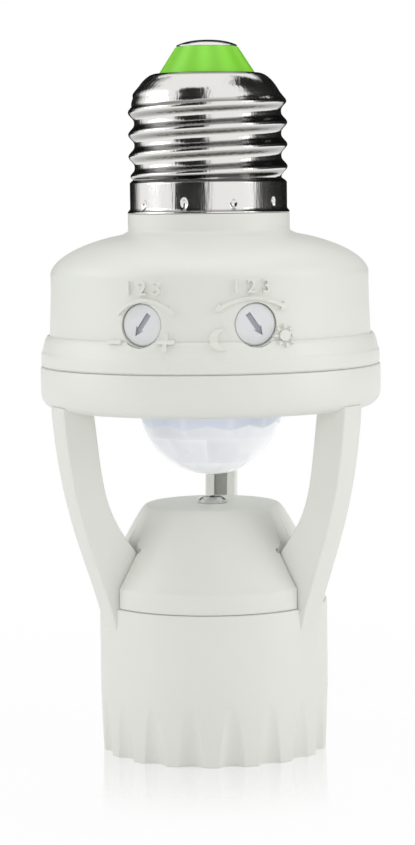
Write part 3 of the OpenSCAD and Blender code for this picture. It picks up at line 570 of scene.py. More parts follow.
def knob_white():
    return dressed("plastic_knob", settings().finish.knob, 0.35, variation=0.015, bump=0.002)


# Painted shade for the floor and walls of the arrow slots.
def arrow_painted_shade():
    return dressed("knob_arrow_painted_shade", settings().finish.arrow, 0.5, variation=0.03)


def nickel():
    """Plated steel: bright, with fine upright drawing lines; painted shade darkens the thread's up-facing flanks and
    undersides and a thin rim below the mouth.
    """
    tint = settings().finish.nickel
    cap = settings().cap
    shoulder_z = cap.rim_z + cap.skirt_h + cap.thread_h

    def painted_thread_shade(tree, position):
        # Painted shade: up-facing faces in the thread, every down-facing underside and a thin rim just under the mouth
        # turn darker, where shade and dark reflections fall.
        normal = tree.nodes.new("ShaderNodeNewGeometry").outputs["Normal"]
        split = tree.nodes.new("ShaderNodeSeparateXYZ")
        tree.links.new(normal, split.inputs[0])
        height = tree.nodes.new("ShaderNodeSeparateXYZ")
        tree.links.new(position, height.inputs[0])
        threads = ramp(tree, height.outputs["Z"], shoulder_z, shoulder_z + 1 * MM, 1.0, 0.0)
        over = math_node(tree, "MULTIPLY", ramp(tree, split.outputs["Z"], 0.3, 0.62), threads)
        under = ramp(tree, split.outputs["Z"], -0.85, -0.3, 1.0, 0.0)
        mouth = ramp(tree, height.outputs["Z"], cap.top_z - 0.6 * MM, cap.top_z - 0.25 * MM)
        dark = math_node(tree, "MAXIMUM", math_node(tree, "MAXIMUM", over, under), mouth)
        # A darker copy of the nickel stands in for that shade.
        return mix_colour(tree, dark, tint, [c * 0.3 for c in tint])

    def lines(tree, position):
        split = tree.nodes.new("ShaderNodeSeparateXYZ")
        tree.links.new(position, split.inputs[0])
        across = tree.nodes.new("ShaderNodeCombineXYZ")
        tree.links.new(split.outputs["X"], across.inputs["X"])
        tree.links.new(split.outputs["Y"], across.inputs["Y"])
        tree.links.new(math_node(tree, "MULTIPLY", split.outputs["Z"], 0.12), across.inputs["Z"])
        return math_node(tree, "MULTIPLY", noise(tree, across.outputs[0], 1600.0, 3.0), 7.0)

    return dressed("nickel", tint, 0.15, variation=0.05, spread=0.08, bump=0.006, metallic=1.0,
                   colour_from=painted_thread_shade, height_from=lines)


def insulator_green():
    tint = settings().finish.green

    def columns(tree, position):
        """Soft upright columns, a little paler and darker round the cone."""
        split = tree.nodes.new("ShaderNodeSeparateXYZ")
        tree.links.new(position, split.inputs[0])
        turn = math_node(tree, "ARCTAN2", split.outputs["Y"], split.outputs["X"])
        wave = math_node(tree, "SINE", math_node(tree, "MULTIPLY", turn, 11.0))
        mask = math_node(tree, "ADD", math_node(tree, "MULTIPLY", wave, 0.35), 0.5)
        return mix_colour(tree, mask, [c * 0.88 for c in tint], [min(1, c * 1.08 + 0.02) for c in tint])

    return dressed("plastic_green", tint, 0.35, variation=0.03, colour_from=columns)


def contact_dark():
    """Metal dome, dark on its crown and worn bright towards its foot."""
    cap = settings().cap
    tint = settings().finish.contact

    def worn(tree, position):
        split = tree.nodes.new("ShaderNodeSeparateXYZ")
        tree.links.new(position, split.inputs[0])
        mask = ramp(tree, split.outputs["Z"], cap.contact_z - 0.32 * MM, cap.contact_z - 0.12 * MM)
        return mix_colour(tree, mask, (0.86, 0.86, 0.84), tint)

    return dressed("contact_dark", tint, 0.16, variation=0.05, metallic=1.0, colour_from=worn)


def lens_milk():
    """Milky lens: its facets show through as paler and darker patches. Painted light makes it paler towards its pole
    and its right side, painted shade darkens the pole's facet and a scalloped row under the ring, painted highlights
    line the facet edges, and a faint painted glow stands in for light passing through.
    """
    material, tree, shader = new_material("lens_milk")
    position = tree.nodes.new("ShaderNodeTexCoord").outputs["Object"]
    lens = settings().lens
    tint = settings().finish.lens
    split = tree.nodes.new("ShaderNodeSeparateXYZ")
    tree.links.new(position, split.inputs[0])
    height = math_node(tree, "SUBTRACT", lens.low_z + lens.radius, split.outputs["Z"])
    down = math_node(tree, "ARCCOSINE", math_node(tree, "DIVIDE", height, lens.radius, clamp=True))
    row = math_node(tree, "DIVIDE", math_node(tree, "SUBTRACT", down, lens.first_row), lens.row)
    row_number = math_node(tree, "FLOOR", row)
    turn = math_node(tree, "ARCTAN2", split.outputs["Y"], split.outputs["X"])
    waver = math_node(tree, "MULTIPLY", math_node(tree, "SUBTRACT", noise(tree, position, 110.0, 2.0), 0.5), 0.5)
    column = math_node(tree, "ADD", math_node(tree, "MULTIPLY", turn, lens.facets / FULL_TURN),
                       math_node(tree, "MULTIPLY", row_number, 0.5))
    column = math_node(tree, "ADD", column, waver)
    across = math_node(tree, "FRACT", column)
    along = math_node(tree, "FRACT", row)
    chance = math_node(tree, "ADD", math_node(tree, "MULTIPLY", math_node(tree, "FLOOR", column), 3.7),
                       math_node(tree, "MULTIPLY", row_number, 5.3))
    chance = math_node(tree, "FRACT", math_node(tree, "MULTIPLY", math_node(tree, "SINE", chance), 7.9))
    # A random tone for each facet, plus painted shade that darkens each facet towards one side and corner, as if it
    # were a small lit lens.
    tone = math_node(tree, "ADD", math_node(tree, "MULTIPLY", chance, 0.55),
                     math_node(tree, "MULTIPLY", math_node(tree, "MULTIPLY", across, along), 0.6))
    clouds = noise(tree, position, 260.0, 3.0)
    tone = math_node(tree, "ADD", tone, math_node(tree, "MULTIPLY", math_node(tree, "SUBTRACT", clouds, 0.5), 0.5))
    # Painted shade in a scalloped band along the top row of facets, under the ring.
    scallop = math_node(tree, "MULTIPLY", math_node(tree, "PINGPONG", column, 0.5), 0.3)
    rim = ramp(tree, math_node(tree, "SUBTRACT", row, scallop), 2.26, 2.34)
    # Painted light: paler towards the pole and towards the right side, fading out up towards the ring.
    light = math_node(tree, "ADD", ramp(tree, down, math.radians(16), math.radians(62), 0.85, 0.0),
                      ramp(tree, split.outputs["X"], 0.0, 0.85 * lens.radius, 0.0, 0.85))
    # A shaded and a lit copy of the tint, mixed by the painted light.
    far = mix_colour(tree, tone, [c * 0.76 for c in tint], [c * 0.9 for c in tint])
    painted_lit_tint = mix_colour(tree, tone, [c * 0.98 for c in tint], [min(1, c * 1.15) for c in tint])
    painted_facet_shading = mix_colour(tree, math_node(tree, "MINIMUM", light, 1.0), far, painted_lit_tint)
    # Painted shade on the facet at the pole.
    pole = ramp(tree, down, math.radians(7), math.radians(15), 0.6, 0.0)
    painted_facet_shading = mix_colour(tree, pole, painted_facet_shading, [c * 0.62 for c in tint])
    painted_facet_shading = mix_colour(tree, rim, painted_facet_shading, [c * f for c, f in zip(tint, (0.72, 0.75, 0.81))])
    # Painted highlights: bright lines along the facet edges.
    border = math_node(tree, "MINIMUM", math_node(tree, "PINGPONG", column, 0.5),
                       math_node(tree, "PINGPONG", row, 0.5))
    edge = ramp(tree, border, 0.0, 0.17, 0.22, 0.0)
    tree.links.new(mix_colour(tree, edge, painted_facet_shading, (0.95, 0.96, 0.98)), shader.inputs["Base Color"])
    tree.links.new(ramp(tree, clouds, 0.3, 0.7, 0.08, 0.16), shader.inputs["Roughness"])
    relief = tree.nodes.new("ShaderNodeBump")
    relief.inputs["Strength"].default_value = 1.0
    relief.inputs["Distance"].default_value = 0.12 * MM
    swell = math_node(tree, "MULTIPLY", math_node(tree, "PINGPONG", column, 0.5),
                      math_node(tree, "PINGPONG", row, 0.5))
    tree.links.new(math_node(tree, "MULTIPLY", swell, 4.0), relief.inputs["Height"])
    tree.links.new(relief.outputs["Normal"], shader.inputs["Normal"])
    # A faint glow in the same painted colours stands in for light passing through the lens.
    tree.links.new(painted_facet_shading, shader.inputs["Emission Color"])
    shader.inputs["Emission Strength"].default_value = 0.18
    shader.inputs["Transmission Weight"].default_value = 0.05
    shader.inputs["IOR"].default_value = 1.45
    return material


def brass():
    return dressed("brass", settings().finish.brass, 0.28, variation=0.06, spread=0.1, metallic=1.0)


def steel():
    return dressed("steel", settings().finish.steel, 0.18, variation=0.06, spread=0.1, metallic=1.0)


# Pieces

def thread_rise(cap, position):
    """How far the cap's thread stands out at a point, fading out at both ends."""
    low = cap.rim_z + cap.skirt_h - 0.4 * MM
    high = cap.rim_z + cap.skirt_h + cap.thread_h + THREAD_RUNOUT
    turn = math.atan2(position.y, position.x)
    phase = (position.z - cap.rim_z - cap.skirt_h) / cap.pitch - (turn + THREAD_START) / FULL_TURN
    crest = (0.5 + 0.5 * math.cos(FULL_TURN * phase)) ** 1.35
    fade = ease((position.z - low) / (1.5 * MM)) * ease((high - position.z) / (3.5 * MM))
    return (cap.crest_r - cap.root_r) * crest * fade


def shoulder(cap, inset):
    start_z = cap.rim_z + cap.skirt_h + cap.thread_h
    rise = cap.top_z - start_z
    run = cap.shoulder_r - cap.mouth_r
    return curve((cap.shoulder_r - inset, start_z), (cap.shoulder_r - inset - 0.2 * MM, start_z + 0.34 * rise),
                 (cap.mouth_r + 0.5 * run - inset, cap.top_z - inset),
                 (cap.mouth_r + 0.3 * MM, cap.top_z - inset))


class LAMPHOLDER_OT_cap(bpy.types.Operator):
    """Screw cap: rolled shell with its thread and dents, green insulator and centre contact"""
    bl_idname = "lampholder.cap"
    bl_label = "Screw cap"

    def execute(self, context):
        cap = settings().cap
        self.shell(cap)
        self.insulator(cap)
        self.contact(cap)
        return {"FINISHED"}

    def shell(self, cap):
        thread_z = cap.rim_z + cap.skirt_h
        shoulder_z = thread_z + cap.thread_h
        inside = cap.skirt_r - cap.sheet
        skirt = [(inside, cap.rim_z), (cap.rim_r, cap.rim_z), (cap.rim_r, cap.rim_z + 0.25 * MM),
                 (cap.skirt_r, cap.rim_z + 0.75 * MM)]
        skirt = rounded(skirt, [0, 0.1 * MM, 0.1 * MM, 0], closed=False)
        plain = divided([(cap.skirt_r, cap.rim_z + 0.75 * MM), (cap.skirt_r, thread_z - 0.4 * MM),
                         (cap.skirt_r - 0.25 * MM, thread_z - 0.1 * MM),
                         (cap.root_r, thread_z + 0.3 * MM)], 0.2 * MM)
        wall = divided([(cap.root_r, thread_z + 0.3 * MM), (cap.root_r, shoulder_z - 0.4 * MM)], 0.18 * MM)
        mouth = [(cap.mouth_r, cap.top_z - 0.08 * MM), (cap.mouth_r, cap.top_z - cap.sheet)]
        bore = [(cap.root_r - cap.sheet, shoulder_z), (cap.root_r - cap.sheet, thread_z),
                (inside, thread_z - 0.6 * MM)]
        outline = (skirt[:-1] + plain + wall[1:] + divided(shoulder(cap, 0), 0.25 * MM) + mouth
                   + shoulder(cap, cap.sheet)[::-1] + bore)
        bm = lathe(outline, 480)
        bm.normal_update()
        for vert in bm.verts:
            self.press(cap, vert, thread_z, shoulder_z)
        bmesh.ops.recalc_face_normals(bm, faces=bm.faces[:])
        piece = to_object(bm, "cap_rolled_shell", 50)
        finish(piece, nickel(), "cap_metal", nodes=["cap_shell"])

    def press(self, cap, vert, thread_z, shoulder_z):
        """Rolls the thread out of the wall, and punches the dents into the skirt."""
        place = vert.co
        radius = Vector((place.x, place.y)).length
        outside = place.x * vert.normal.x + place.y * vert.normal.y > 0.3 * radius
        if outside and thread_z - 0.4 * MM < place.z < shoulder_z + THREAD_RUNOUT:
            new = max(radius, min(radius, cap.root_r) + thread_rise(cap, place))
        elif radius > cap.skirt_r - 0.05 * MM and place.z < thread_z - 1 * MM:
            step = FULL_TURN / cap.dent_count
            off = (math.atan2(place.y, place.x) - DENT_START + step / 2) % step - step / 2
            reach = math.hypot(off * radius / (cap.dent_w / 2),
                               (place.z - cap.rim_z - cap.dent_rise) / (cap.dent_h / 2))
            new = radius - cap.dent_depth * ease(1.3 * (1 - reach))
        else:
            return
        place.x *= new / radius
        place.y *= new / radius

    def insulator(self, cap):
        lip = cap.mouth_r - 0.25 * MM
        stem = 1.55 * MM
        points = [(stem, cap.top_z - 3.6 * MM), (cap.mouth_r + 0.3 * MM, cap.top_z - 3.6 * MM),
                  (cap.mouth_r + 0.3 * MM, cap.top_z - cap.sheet - 0.05 * MM),
                  (lip, cap.top_z - cap.sheet - 0.05 * MM), (lip, cap.top_z),
                  (cap.insulator_r, cap.insulator_z), (stem, cap.insulator_z)]
        outline = rounded(points, [0, 0, 0, 0, 0.2 * MM, 0.35 * MM, 0])
        piece = to_object(lathe(outline, 160), "cap_green_cone")
        finish(piece, insulator_green(), "insulator_green", nodes=["cap_insulator"])

    def contact(self, cap):
        low = cap.insulator_z
        edge = low + 0.2 * MM
        stem = 1.5 * MM
        dome = curve((cap.contact_r, edge), (cap.contact_r * 0.75, cap.contact_z - 0.25 * MM),
                     (cap.contact_r * 0.4, cap.contact_z), (0, cap.contact_z))
        outline = [(0, cap.top_z - 4.6 * MM), (stem, cap.top_z - 4.6 * MM), (stem, low),
                   (cap.contact_r - 0.05 * MM, low)] + dome
        piece = to_object(lathe(outline, 128, closed=False), "cap_contact_dome")
        finish(piece, contact_dark(), "contact_dark", nodes=["centre_contact"])


def housing_skin(housing):
    """Outside of the housing from the seam up to the neck."""
    flange_top = housing.seam_z + housing.flange_h
    drum_top = flange_top + housing.drum_h
    neck_z = drum_top + housing.crown_h
    foot_r = housing.drum_r + housing.draft
    flange_r = housing.flange_r
    side = [(flange_r - 0.3 * MM, housing.seam_z), (flange_r, housing.seam_z + 0.3 * MM)]
    corner = [(flange_r, flange_top - 1.7 * MM), (flange_r - 0.05 * MM, flange_top - 1.55 * MM),
              (flange_r - 0.16 * MM, flange_top - 1.4 * MM)]
    slope = curve(corner[-1], (flange_r - 0.4 * MM, flange_top - 0.5 * MM), (foot_r + 0.8 * MM, flange_top + 0.9 * MM),
                  (foot_r + 0.36 * MM, flange_top + 1.18 * MM), 8)
    groove = slope[1:] + [(foot_r + 0.16 * MM, flange_top + 1.2 * MM), (foot_r, flange_top + 1.06 * MM)]
    drum = divided([groove[-1], (housing.drum_r, drum_top), (housing.drum_r, drum_top + housing.crease_h)],
                   0.5 * MM)
    crown = crown_curve(housing, 0)
    neck = rounded([crown[-1], (housing.neck_r, neck_z + 0.3 * MM),
                    (housing.neck_r, neck_z + 3.15 * MM)], [0, 0.25 * MM, 0], closed=False)
    return side + corner + groove + drum[1:] + crown[1:] + neck[1:]


def crown_curve(housing, inset):
    drum_top = housing.seam_z + housing.flange_h + housing.drum_h
    neck_z = drum_top + housing.crown_h
    return curve((housing.drum_r - inset, drum_top + housing.crease_h - inset * 0.5),
                 (housing.drum_r - 0.6 * MM - inset, drum_top + 0.65 * housing.crown_h - inset),
                 (housing.neck_r + 0.44 * (housing.drum_r - housing.neck_r), neck_z - 1.0 * MM - inset),
                 (housing.neck_r + 1 * MM, neck_z - 0.25 * MM - inset), 40)


def knob_place(side):
    """Matrix that turns a shape drawn along +Z, with +Y up, to point out of the drum at a knob."""
    knobs = settings().knobs
    return (Matrix.Rotation(side * knobs.turn, 4, "Z") @ Matrix.Translation((0, 0, knobs.height))
            @ Matrix.Rotation(math.radians(90), 4, "X"))


class LAMPHOLDER_OT_housing(bpy.types.Operator):
    """Domed housing with its flange, lip, neck, plug and bosses, and the raised marks on its drum"""
    bl_idname = "lampholder.housing"
    bl_label = "Housing"

    def execute(self, context):
        housing = settings().housing
        cap = settings().cap
        white = plastic_white()
        piece = self.shell(housing, cap)
        finish(piece, white, "housing_white", nodes=["housing_top"])
        marks = self.marks(housing)
        finish(marks, white, "housing_white")
        return {"FINISHED"}

    def shell(self, housing, cap):
        bore = housing.drum_r - housing.wall
        plug_r = cap.root_r - cap.sheet - 0.1 * MM
        plug_bore = plug_r - 1.5 * MM
        plug_top = cap.rim_z + cap.skirt_h + cap.thread_h + 1.4 * MM
        thread_z = cap.rim_z + cap.skirt_h
        foot_r = cap.skirt_r - cap.sheet - 0.1 * MM
        low = housing.seam_z - housing.lip_h
        outline = rounded([(bore, low), (housing.lip_r, low), (housing.lip_r, housing.seam_z)],
                          [0, 0.2 * MM, 0], closed=False)
        outline += housing_skin(housing)
        outline += [(foot_r, cap.rim_z - 0.05 * MM), (foot_r, thread_z - 1.2 * MM),
                    (plug_r, thread_z - 1.2 * MM), (plug_r, plug_top),
                    (cap.mouth_r - 0.6 * MM, plug_top), (cap.mouth_r - 0.6 * MM, plug_top - 1.2 * MM),
                    (plug_bore, plug_top - 1.2 * MM), (plug_bore, cap.rim_z - 3.2 * MM)]
        outline += crown_curve(housing, housing.wall)[::-2]
        piece = to_object(lathe(outline, 288), "housing_shell")
        flange_top = housing.seam_z + housing.flange_h
        bosses = around(HOUSING_SCREW_TURNS, lambda: moved(
            rod(2.6 * MM, 60.65 * MM, flange_top, 32), Matrix.Translation((HOUSING_SCREW_R, 0, 0))))
        combine(piece, joined(bosses), "UNION")
        holes = around(HOUSING_SCREW_TURNS, lambda: moved(
            rod(1.25 * MM, 59 * MM, flange_top - 0.6 * MM, 24), Matrix.Translation((HOUSING_SCREW_R, 0, 0))))
        knobs = settings().knobs
        for side in (-1, 1):
            hole = rod(knobs.hole_r, bore - 2 * MM, 30 * MM, 96)
            rim = rod(knobs.hole_r - 0.04 * MM, 26.2 * MM, 27.0 * MM, 96, top=knobs.hole_r + 0.16 * MM)
            holes += [moved(hole, knob_place(side))]
            holes += [moved(rod(knobs.hole_r + 0.16 * MM, 27.0 * MM, 30 * MM, 96), knob_place(side))]
            holes += [moved(rim, knob_place(side))]
        for hole in holes:
            combine(piece, hole)
        return piece

    def marks(self, housing):
        """Raised marks, drawn flat round each knob's axis and wrapped on the drum."""
        skin = housing_skin(housing)
        settings_knobs = settings().knobs
        w = housing.mark_w / MM
        left = [arc_band(0.65, -2.1, 6.0, w, 141, 48), arrow_head(0.65, -2.1, 6.0, 48, -1),
                bar(-4.3, -2.65, 2.4, w), *cross(4.3, -2.6, 2.9, w)]
        right = [arc_band(-0.48, -5.75, 9.85, w, 120, 61), arrow_head(-0.48, -5.75, 9.85, 120, 1),
                 arrow_head(-0.48, -5.75, 9.85, 61, -1), crescent(-5.7, -2.2, 1.7),
                 *sun(4.6, -1.85, 1.8)]
        pieces = []
        for side, shapes, text_x, text_y in ((-1, left, 0.4, 4.75), (1, right, -0.7, 5.0)):
            for shape in shapes:
                pieces.append((side, flat_mesh(shape)))
            pieces.append((side, number_mesh(settings().marks, text_x, text_y)))
        bm = bmesh.new()
        for side, data in pieces:
            centre = -math.pi / 2 + side * settings_knobs.turn
            start = len(bm.verts)
            bm.from_mesh(data)
            bm.verts.ensure_lookup_table()
            bpy.data.meshes.remove(data)
            for vert in bm.verts[start:]:
                x, y, depth = vert.co * MM
                z = settings_knobs.height + y
                surface = radius_at(skin, z)
                rise = housing.mark_rise if depth > 0 else -0.4 * MM
                turn = centre + x / housing.drum_r
                vert.co = ((surface + rise) * math.cos(turn), (surface + rise) * math.sin(turn), z)
        bmesh.ops.recalc_face_normals(bm, faces=bm.faces[:])
        return to_object(bm, "housing_marks", 30)


# Flat marks in millimetres, as closed outlines round a knob's axis

def arc_band(x, y, radius, width, start, end, count=24):
    turns = [math.radians(start + (end - start) * k / count) for k in range(count + 1)]
    outer = [(x + (radius + width / 2) * math.cos(t), y + (radius + width / 2) * math.sin(t)) for t in turns]
    inner = [(x + (radius - width / 2) * math.cos(t), y + (radius - width / 2) * math.sin(t)) for t in turns]
    return outer + inner[::-1]


def arrow_head(x, y, radius, turn, way, length=1.3, width=1.5):
    """A triangle at the end of an arc that points on round it; way is -1 for clockwise."""
    t = math.radians(turn)
    centre = Vector((x + radius * math.cos(t), y + radius * math.sin(t)))
    along = Vector((-math.sin(t), math.cos(t))) * way
    out = Vector((math.cos(t), math.sin(t)))
    return [tuple(centre + out * width / 2), tuple(centre + along * length), tuple(centre - out * width / 2)]


def bar(x, y, length, width):
    return [(x - length / 2, y - width / 2), (x + length / 2, y - width / 2),
            (x + length / 2, y + width / 2), (x - length / 2, y + width / 2)]


def cross(x, y, length, width):
    half, arm = width / 2, length / 2
    return [[(x - arm, y - half), (x - half, y - half), (x - half, y - arm), (x + half, y - arm),
             (x + half, y - half), (x + arm, y - half), (x + arm, y + half), (x + half, y + half),
             (x + half, y + arm), (x - half, y + arm), (x - half, y + half), (x - arm, y + half)]]


def crescent(x, y, radius, count=20):
    outer = [math.radians(60 + 240 * k / count) for k in range(count + 1)]
    points = [(x + radius * math.cos(t), y + radius * math.sin(t)) for t in outer]
    tip = math.radians(60)
    shift, inner_r = radius * 0.62, math.hypot(radius * math.cos(tip) - radius * 0.62, radius * math.sin(tip))
    limit = math.atan2(radius * math.sin(tip), radius * math.cos(tip) - shift)
    inner = [limit + (FULL_TURN - 2 * limit) * k / count for k in range(1, count)]
    return points + [(x + shift + inner_r * math.cos(t), y + inner_r * math.sin(t)) for t in inner[::-1]]


def sun(x, y, radius, rays=8):
    disc = [(x + radius * 0.5 * math.cos(FULL_TURN * k / 20), y + radius * 0.5 * math.sin(FULL_TURN * k / 20))
            for k in range(20)]
    shapes = [disc]
    for k in range(rays):
        turn = Matrix.Rotation(FULL_TURN * k / rays, 2)
        corners = ((0.66, -0.1), (1.0, -0.1), (1.0, 0.1), (0.66, 0.1))
        shapes.append([tuple(Vector((x, y)) + turn @ (Vector(c) * radius)) for c in corners])
    return shapes


def flat_mesh(points, thickness=0.1):
    """A thin solid on a closed outline."""
    data = bpy.data.curves.new("mark", "CURVE")
    data.dimensions = "2D"
    data.fill_mode = "BOTH"
    spline = data.splines.new("POLY")
    spline.points.add(len(points) - 1)
    for point, (x, y) in zip(spline.points, points):
        point.co = (x, y, 0, 1)
    spline.use_cyclic_u = True
    data.extrude = thickness
    return curve_mesh(data)


def number_mesh(text, x, y, height=2.2, thickness=0.1):
    data = bpy.data.curves.new("numbers", "FONT")
    data.body = text
    data.size = height * 1.4
    data.align_x = "CENTER"
    data.offset = 0.03
    data.extrude = thickness
    mesh = curve_mesh(data)
    mesh.transform(Matrix.Translation((x, y, 0)))
    return mesh


def curve_mesh(data):
    holder = bpy.data.objects.new("mark", data)
    bpy.context.scene.collection.objects.link(holder)
    depsgraph = bpy.context.evaluated_depsgraph_get()
    mesh = bpy.data.meshes.new_from_object(holder.evaluated_get(depsgraph), depsgraph=depsgraph)
    bpy.data.objects.remove(holder)
    bpy.data.curves.remove(data)
    return mesh


class LAMPHOLDER_OT_knobs(bpy.types.Operator):
    """Two knobs with arrow slots and shafts"""
    bl_idname = "lampholder.knobs"
    bl_label = "Settings"

    def execute(self, context):
        knobs = settings().knobs
        white, grey = knob_white(), arrow_painted_shade()
        for side, name, body, node in ((-1, "time_setting_knob", "time_setting", "time_knob"),
                                       (1, "light_setting_knob", "light_setting", "light_knob")):
            points = [(0, knobs.shaft_end), (knobs.shaft_r, knobs.shaft_end), (knobs.shaft_r, knobs.back_r),
                      (knobs.flange_r, knobs.back_r), (knobs.flange_r, knobs.face_r - 0.42 * MM),
                      (knobs.radius, knobs.face_r - 0.42 * MM), (knobs.radius, knobs.face_r), (0, knobs.face_r)]
            outline = rounded(points, [0, 0.1 * MM, 0, 0.1 * MM, 0, 0, 0.25 * MM, 0], closed=False)
            piece = to_object(lathe(outline, 96, closed=False), name)
            piece.data.materials.append(white)
            piece.data.materials.append(grey)
            pointing = math.pi - side * knobs.end_turn
            slot = to_object(self.arrow(knobs, -pointing), "slot")
            slot.data.materials.append(white)
            slot.data.materials.append(grey)
            # The slot's faces take the painted shade.
            for face in slot.data.polygons:
                face.material_index = 1
            combine(piece, slot, sharp=30)
            piece.data.transform(knob_place(side))
            finish(piece, white, "knob_white", body=body, nodes=[node])
        return {"FINISHED"}

    def arrow(self, knobs, turn):
        tip, half, barb = knobs.arrow_l / 2, knobs.arrow_w / 2, knobs.arrow_head / 2
        head = tip - knobs.arrow_head
        points = [(0, tip), (barb, head), (half, head + 0.2 * MM), (half, -tip), (-half, -tip),
                  (-half, head + 0.2 * MM), (-barb, head)]
        bm = bmesh.new()
        low = knobs.face_r - knobs.arrow_depth
        face = bm.faces.new([bm.verts.new((x, y, low)) for x, y in points])
        up = bmesh.ops.extrude_face_region(bm, geom=[face])["geom"]
        bmesh.ops.translate(bm, vec=(0, 0, knobs.arrow_depth * 2),
                            verts=[v for v in up if isinstance(v, bmesh.types.BMVert)])
        bmesh.ops.recalc_face_normals(bm, faces=bm.faces[:])
        return moved(bm, Matrix.Rotation(turn, 4, "Z"))


def arm_outside(shape):
    top_r = shape.ring_r - 0.5 * MM
    span = shape.ring_z - shape.skirt_h
    return curve((top_r, shape.ring_z), (top_r - 1.55 * MM, shape.skirt_h + 0.423 * span),
                 (shape.skirt_r + 2.35 * MM, shape.skirt_h + 0.215 * span), (shape.skirt_r, shape.root_z), 32)


def arm_inside(shape):
    top_r = shape.ring_r - 0.5 * MM - shape.arm_depth
    return curve((top_r, shape.ring_z), (top_r - 1.6 * MM, shape.tip_z + 10.1 * MM),
                 (shape.tip_r + 5.8 * MM, shape.tip_z + 7.2 * MM), (shape.tip_r, shape.tip_z), 28)


class LAMPHOLDER_OT_frame(bpy.types.Operator):
    """Ring, three channelled arms and fluted skirt in one moulding"""
    bl_idname = "lampholder.frame"
    bl_label = "Ring and arms"

    def execute(self, context):
        shape = settings().frame
        piece = to_object(self.ring(shape), "frame_moulding")
        combine(piece, self.skirt(shape), "UNION", 30)
        combine(piece, joined(around(ARM_TURNS, lambda: self.arm(shape))), "UNION", 30)
        combine(piece, joined(around(ARM_TURNS, lambda: self.channel(shape))), sharp=30)
        combine(piece, self.screw_wells(shape), sharp=30)
        finish(piece, bpy.data.materials["plastic_white"], "housing_white", nodes=["arm_frame"])
        return {"FINISHED"}

    def ring(self, shape):
        bore = shape.ring_r - shape.ring_wall
        floor = shape.ring_z + shape.floor_h
        fillet = [(shape.ring_r - shape.fillet * (1 - math.sin(t)), shape.ring_z + shape.fillet * (1 - math.cos(t)))
                  for t in [math.radians(a) for a in range(0, 91, 9)]]
        outline = [(shape.hole_r, shape.ring_z)] + fillet
        outline += [(shape.ring_r, shape.ring_top - 0.25 * MM), (shape.ring_r - 0.06 * MM, shape.ring_top - 0.1 * MM),
                    (shape.ring_r - 0.25 * MM, shape.ring_top), (bore, shape.ring_top), (bore, floor),
                    (shape.hole_r, floor)]
        return lathe(outline, 288)

    def skirt(self, shape):
        wall = [(shape.skirt_r - shape.draft, 0.08 * MM), (shape.skirt_r, shape.flute_h + 1 * MM)]
        outline = [(shape.bore_r, 0), (shape.skirt_r - shape.draft - 0.08 * MM, 0)]
        outline += divided(wall, 0.3 * MM)
        outline += rounded([(shape.skirt_r, shape.flute_h + 1.1 * MM), (shape.skirt_r, shape.skirt_h),
                            (shape.ledge_r, shape.skirt_h)], [0, 0.3 * MM, 0], closed=False)
        outline += [(shape.ledge_r, shape.skirt_h - shape.ledge_h), (shape.bore_r, shape.skirt_h - shape.ledge_h)]
        bm = lathe(outline, 720)
        for vert in bm.verts:
            self.flute(shape, vert)
        return bm

    def flute(self, shape, vert):
        """Pushes a point of the skirt's outside into the hollow of the nearest flute."""
        place = vert.co
        radius = Vector((place.x, place.y)).length
        if radius < shape.bore_r + 0.1 * MM or place.z > shape.flute_h + 1 * MM:
            return
        step = FULL_TURN / shape.flute_count
        off = (math.atan2(place.y, place.x) - FLUTE_START + step / 2) % step - step / 2
        axis = (shape.skirt_r - shape.draft / 2 - shape.flute_depth + shape.flute_r
                + place.z * shape.flute_depth / shape.flute_h)
        half = axis * math.sin(off)
        if abs(half) >= shape.flute_r:
            return
        hollow = axis * math.cos(off) - math.sqrt(shape.flute_r ** 2 - half ** 2)
        soft = 0.12 * MM
        gap = radius - hollow
        new = radius - (gap + math.sqrt(gap * gap + soft * soft)) / 2 + soft * 0.1
        new = min(radius, new)
        place.x *= new / radius
        place.y *= new / radius

    def arm(self, shape):
        outline = [(shape.ring_r - 0.5 * MM - shape.arm_depth, shape.ring_z + 0.9 * MM),
                   (shape.ring_r - 0.5 * MM, shape.ring_z + 0.9 * MM)]
        outline += arm_outside(shape)
        outline += [(shape.bore_r + 0.5 * MM, shape.root_z), (shape.bore_r + 0.5 * MM, shape.skirt_h - 0.5 * MM),
                    (shape.tip_r, shape.skirt_h - 0.5 * MM)]
        outline += arm_inside(shape)[::-1]
        bm = prism(outline, shape.arm_w)
        edges = [e for e in bm.edges if abs(e.verts[0].co.y - e.verts[1].co.y) < 1e-6]
        bmesh.ops.bevel(bm, geom=edges, offset=0.35 * MM, offset_type="OFFSET", affect="EDGES", segments=3,
                        profile=0.5, material=-1, clamp_overlap=True)
        return bm

    def channel(self, shape):
        foot = shape.skirt_h + 1.2 * MM
        outer = [(r - shape.arm_wall, z) for r, z in arm_outside(shape) if z > foot + 1 * MM]
        top_in = shape.ring_r - 0.5 * MM - shape.arm_depth
        outline = [(shape.ring_r - 0.5 * MM - shape.arm_wall, shape.ring_z + shape.floor_h + 1 * MM)] + outer
        outline += [(outer[-1][0], foot), (shape.tip_r - 2 * MM, foot), (shape.tip_r - 2 * MM, shape.tip_z)]
        outline += [(r - 1 * MM, z - 0.3 * MM) for r, z in arm_inside(shape)[::-1]]
        outline += [(top_in - 1 * MM, shape.ring_z - 0.01 * MM), (top_in + 0.6 * MM, shape.ring_z - 0.01 * MM),
                    (top_in + 0.6 * MM, shape.ring_z + shape.floor_h + 1 * MM)]
        return prism(outline, shape.channel_w)

    def screw_wells(self, shape):
        """Wells for the three screws under the ring."""
        wells = around(HOUSING_SCREW_TURNS, lambda: moved(
            rod(2.6 * MM, shape.ring_z - 1 * MM, shape.ring_z + 1.7 * MM, 48),
            Matrix.Translation((HOUSING_SCREW_R, 0, 0))))
        return joined(wells)


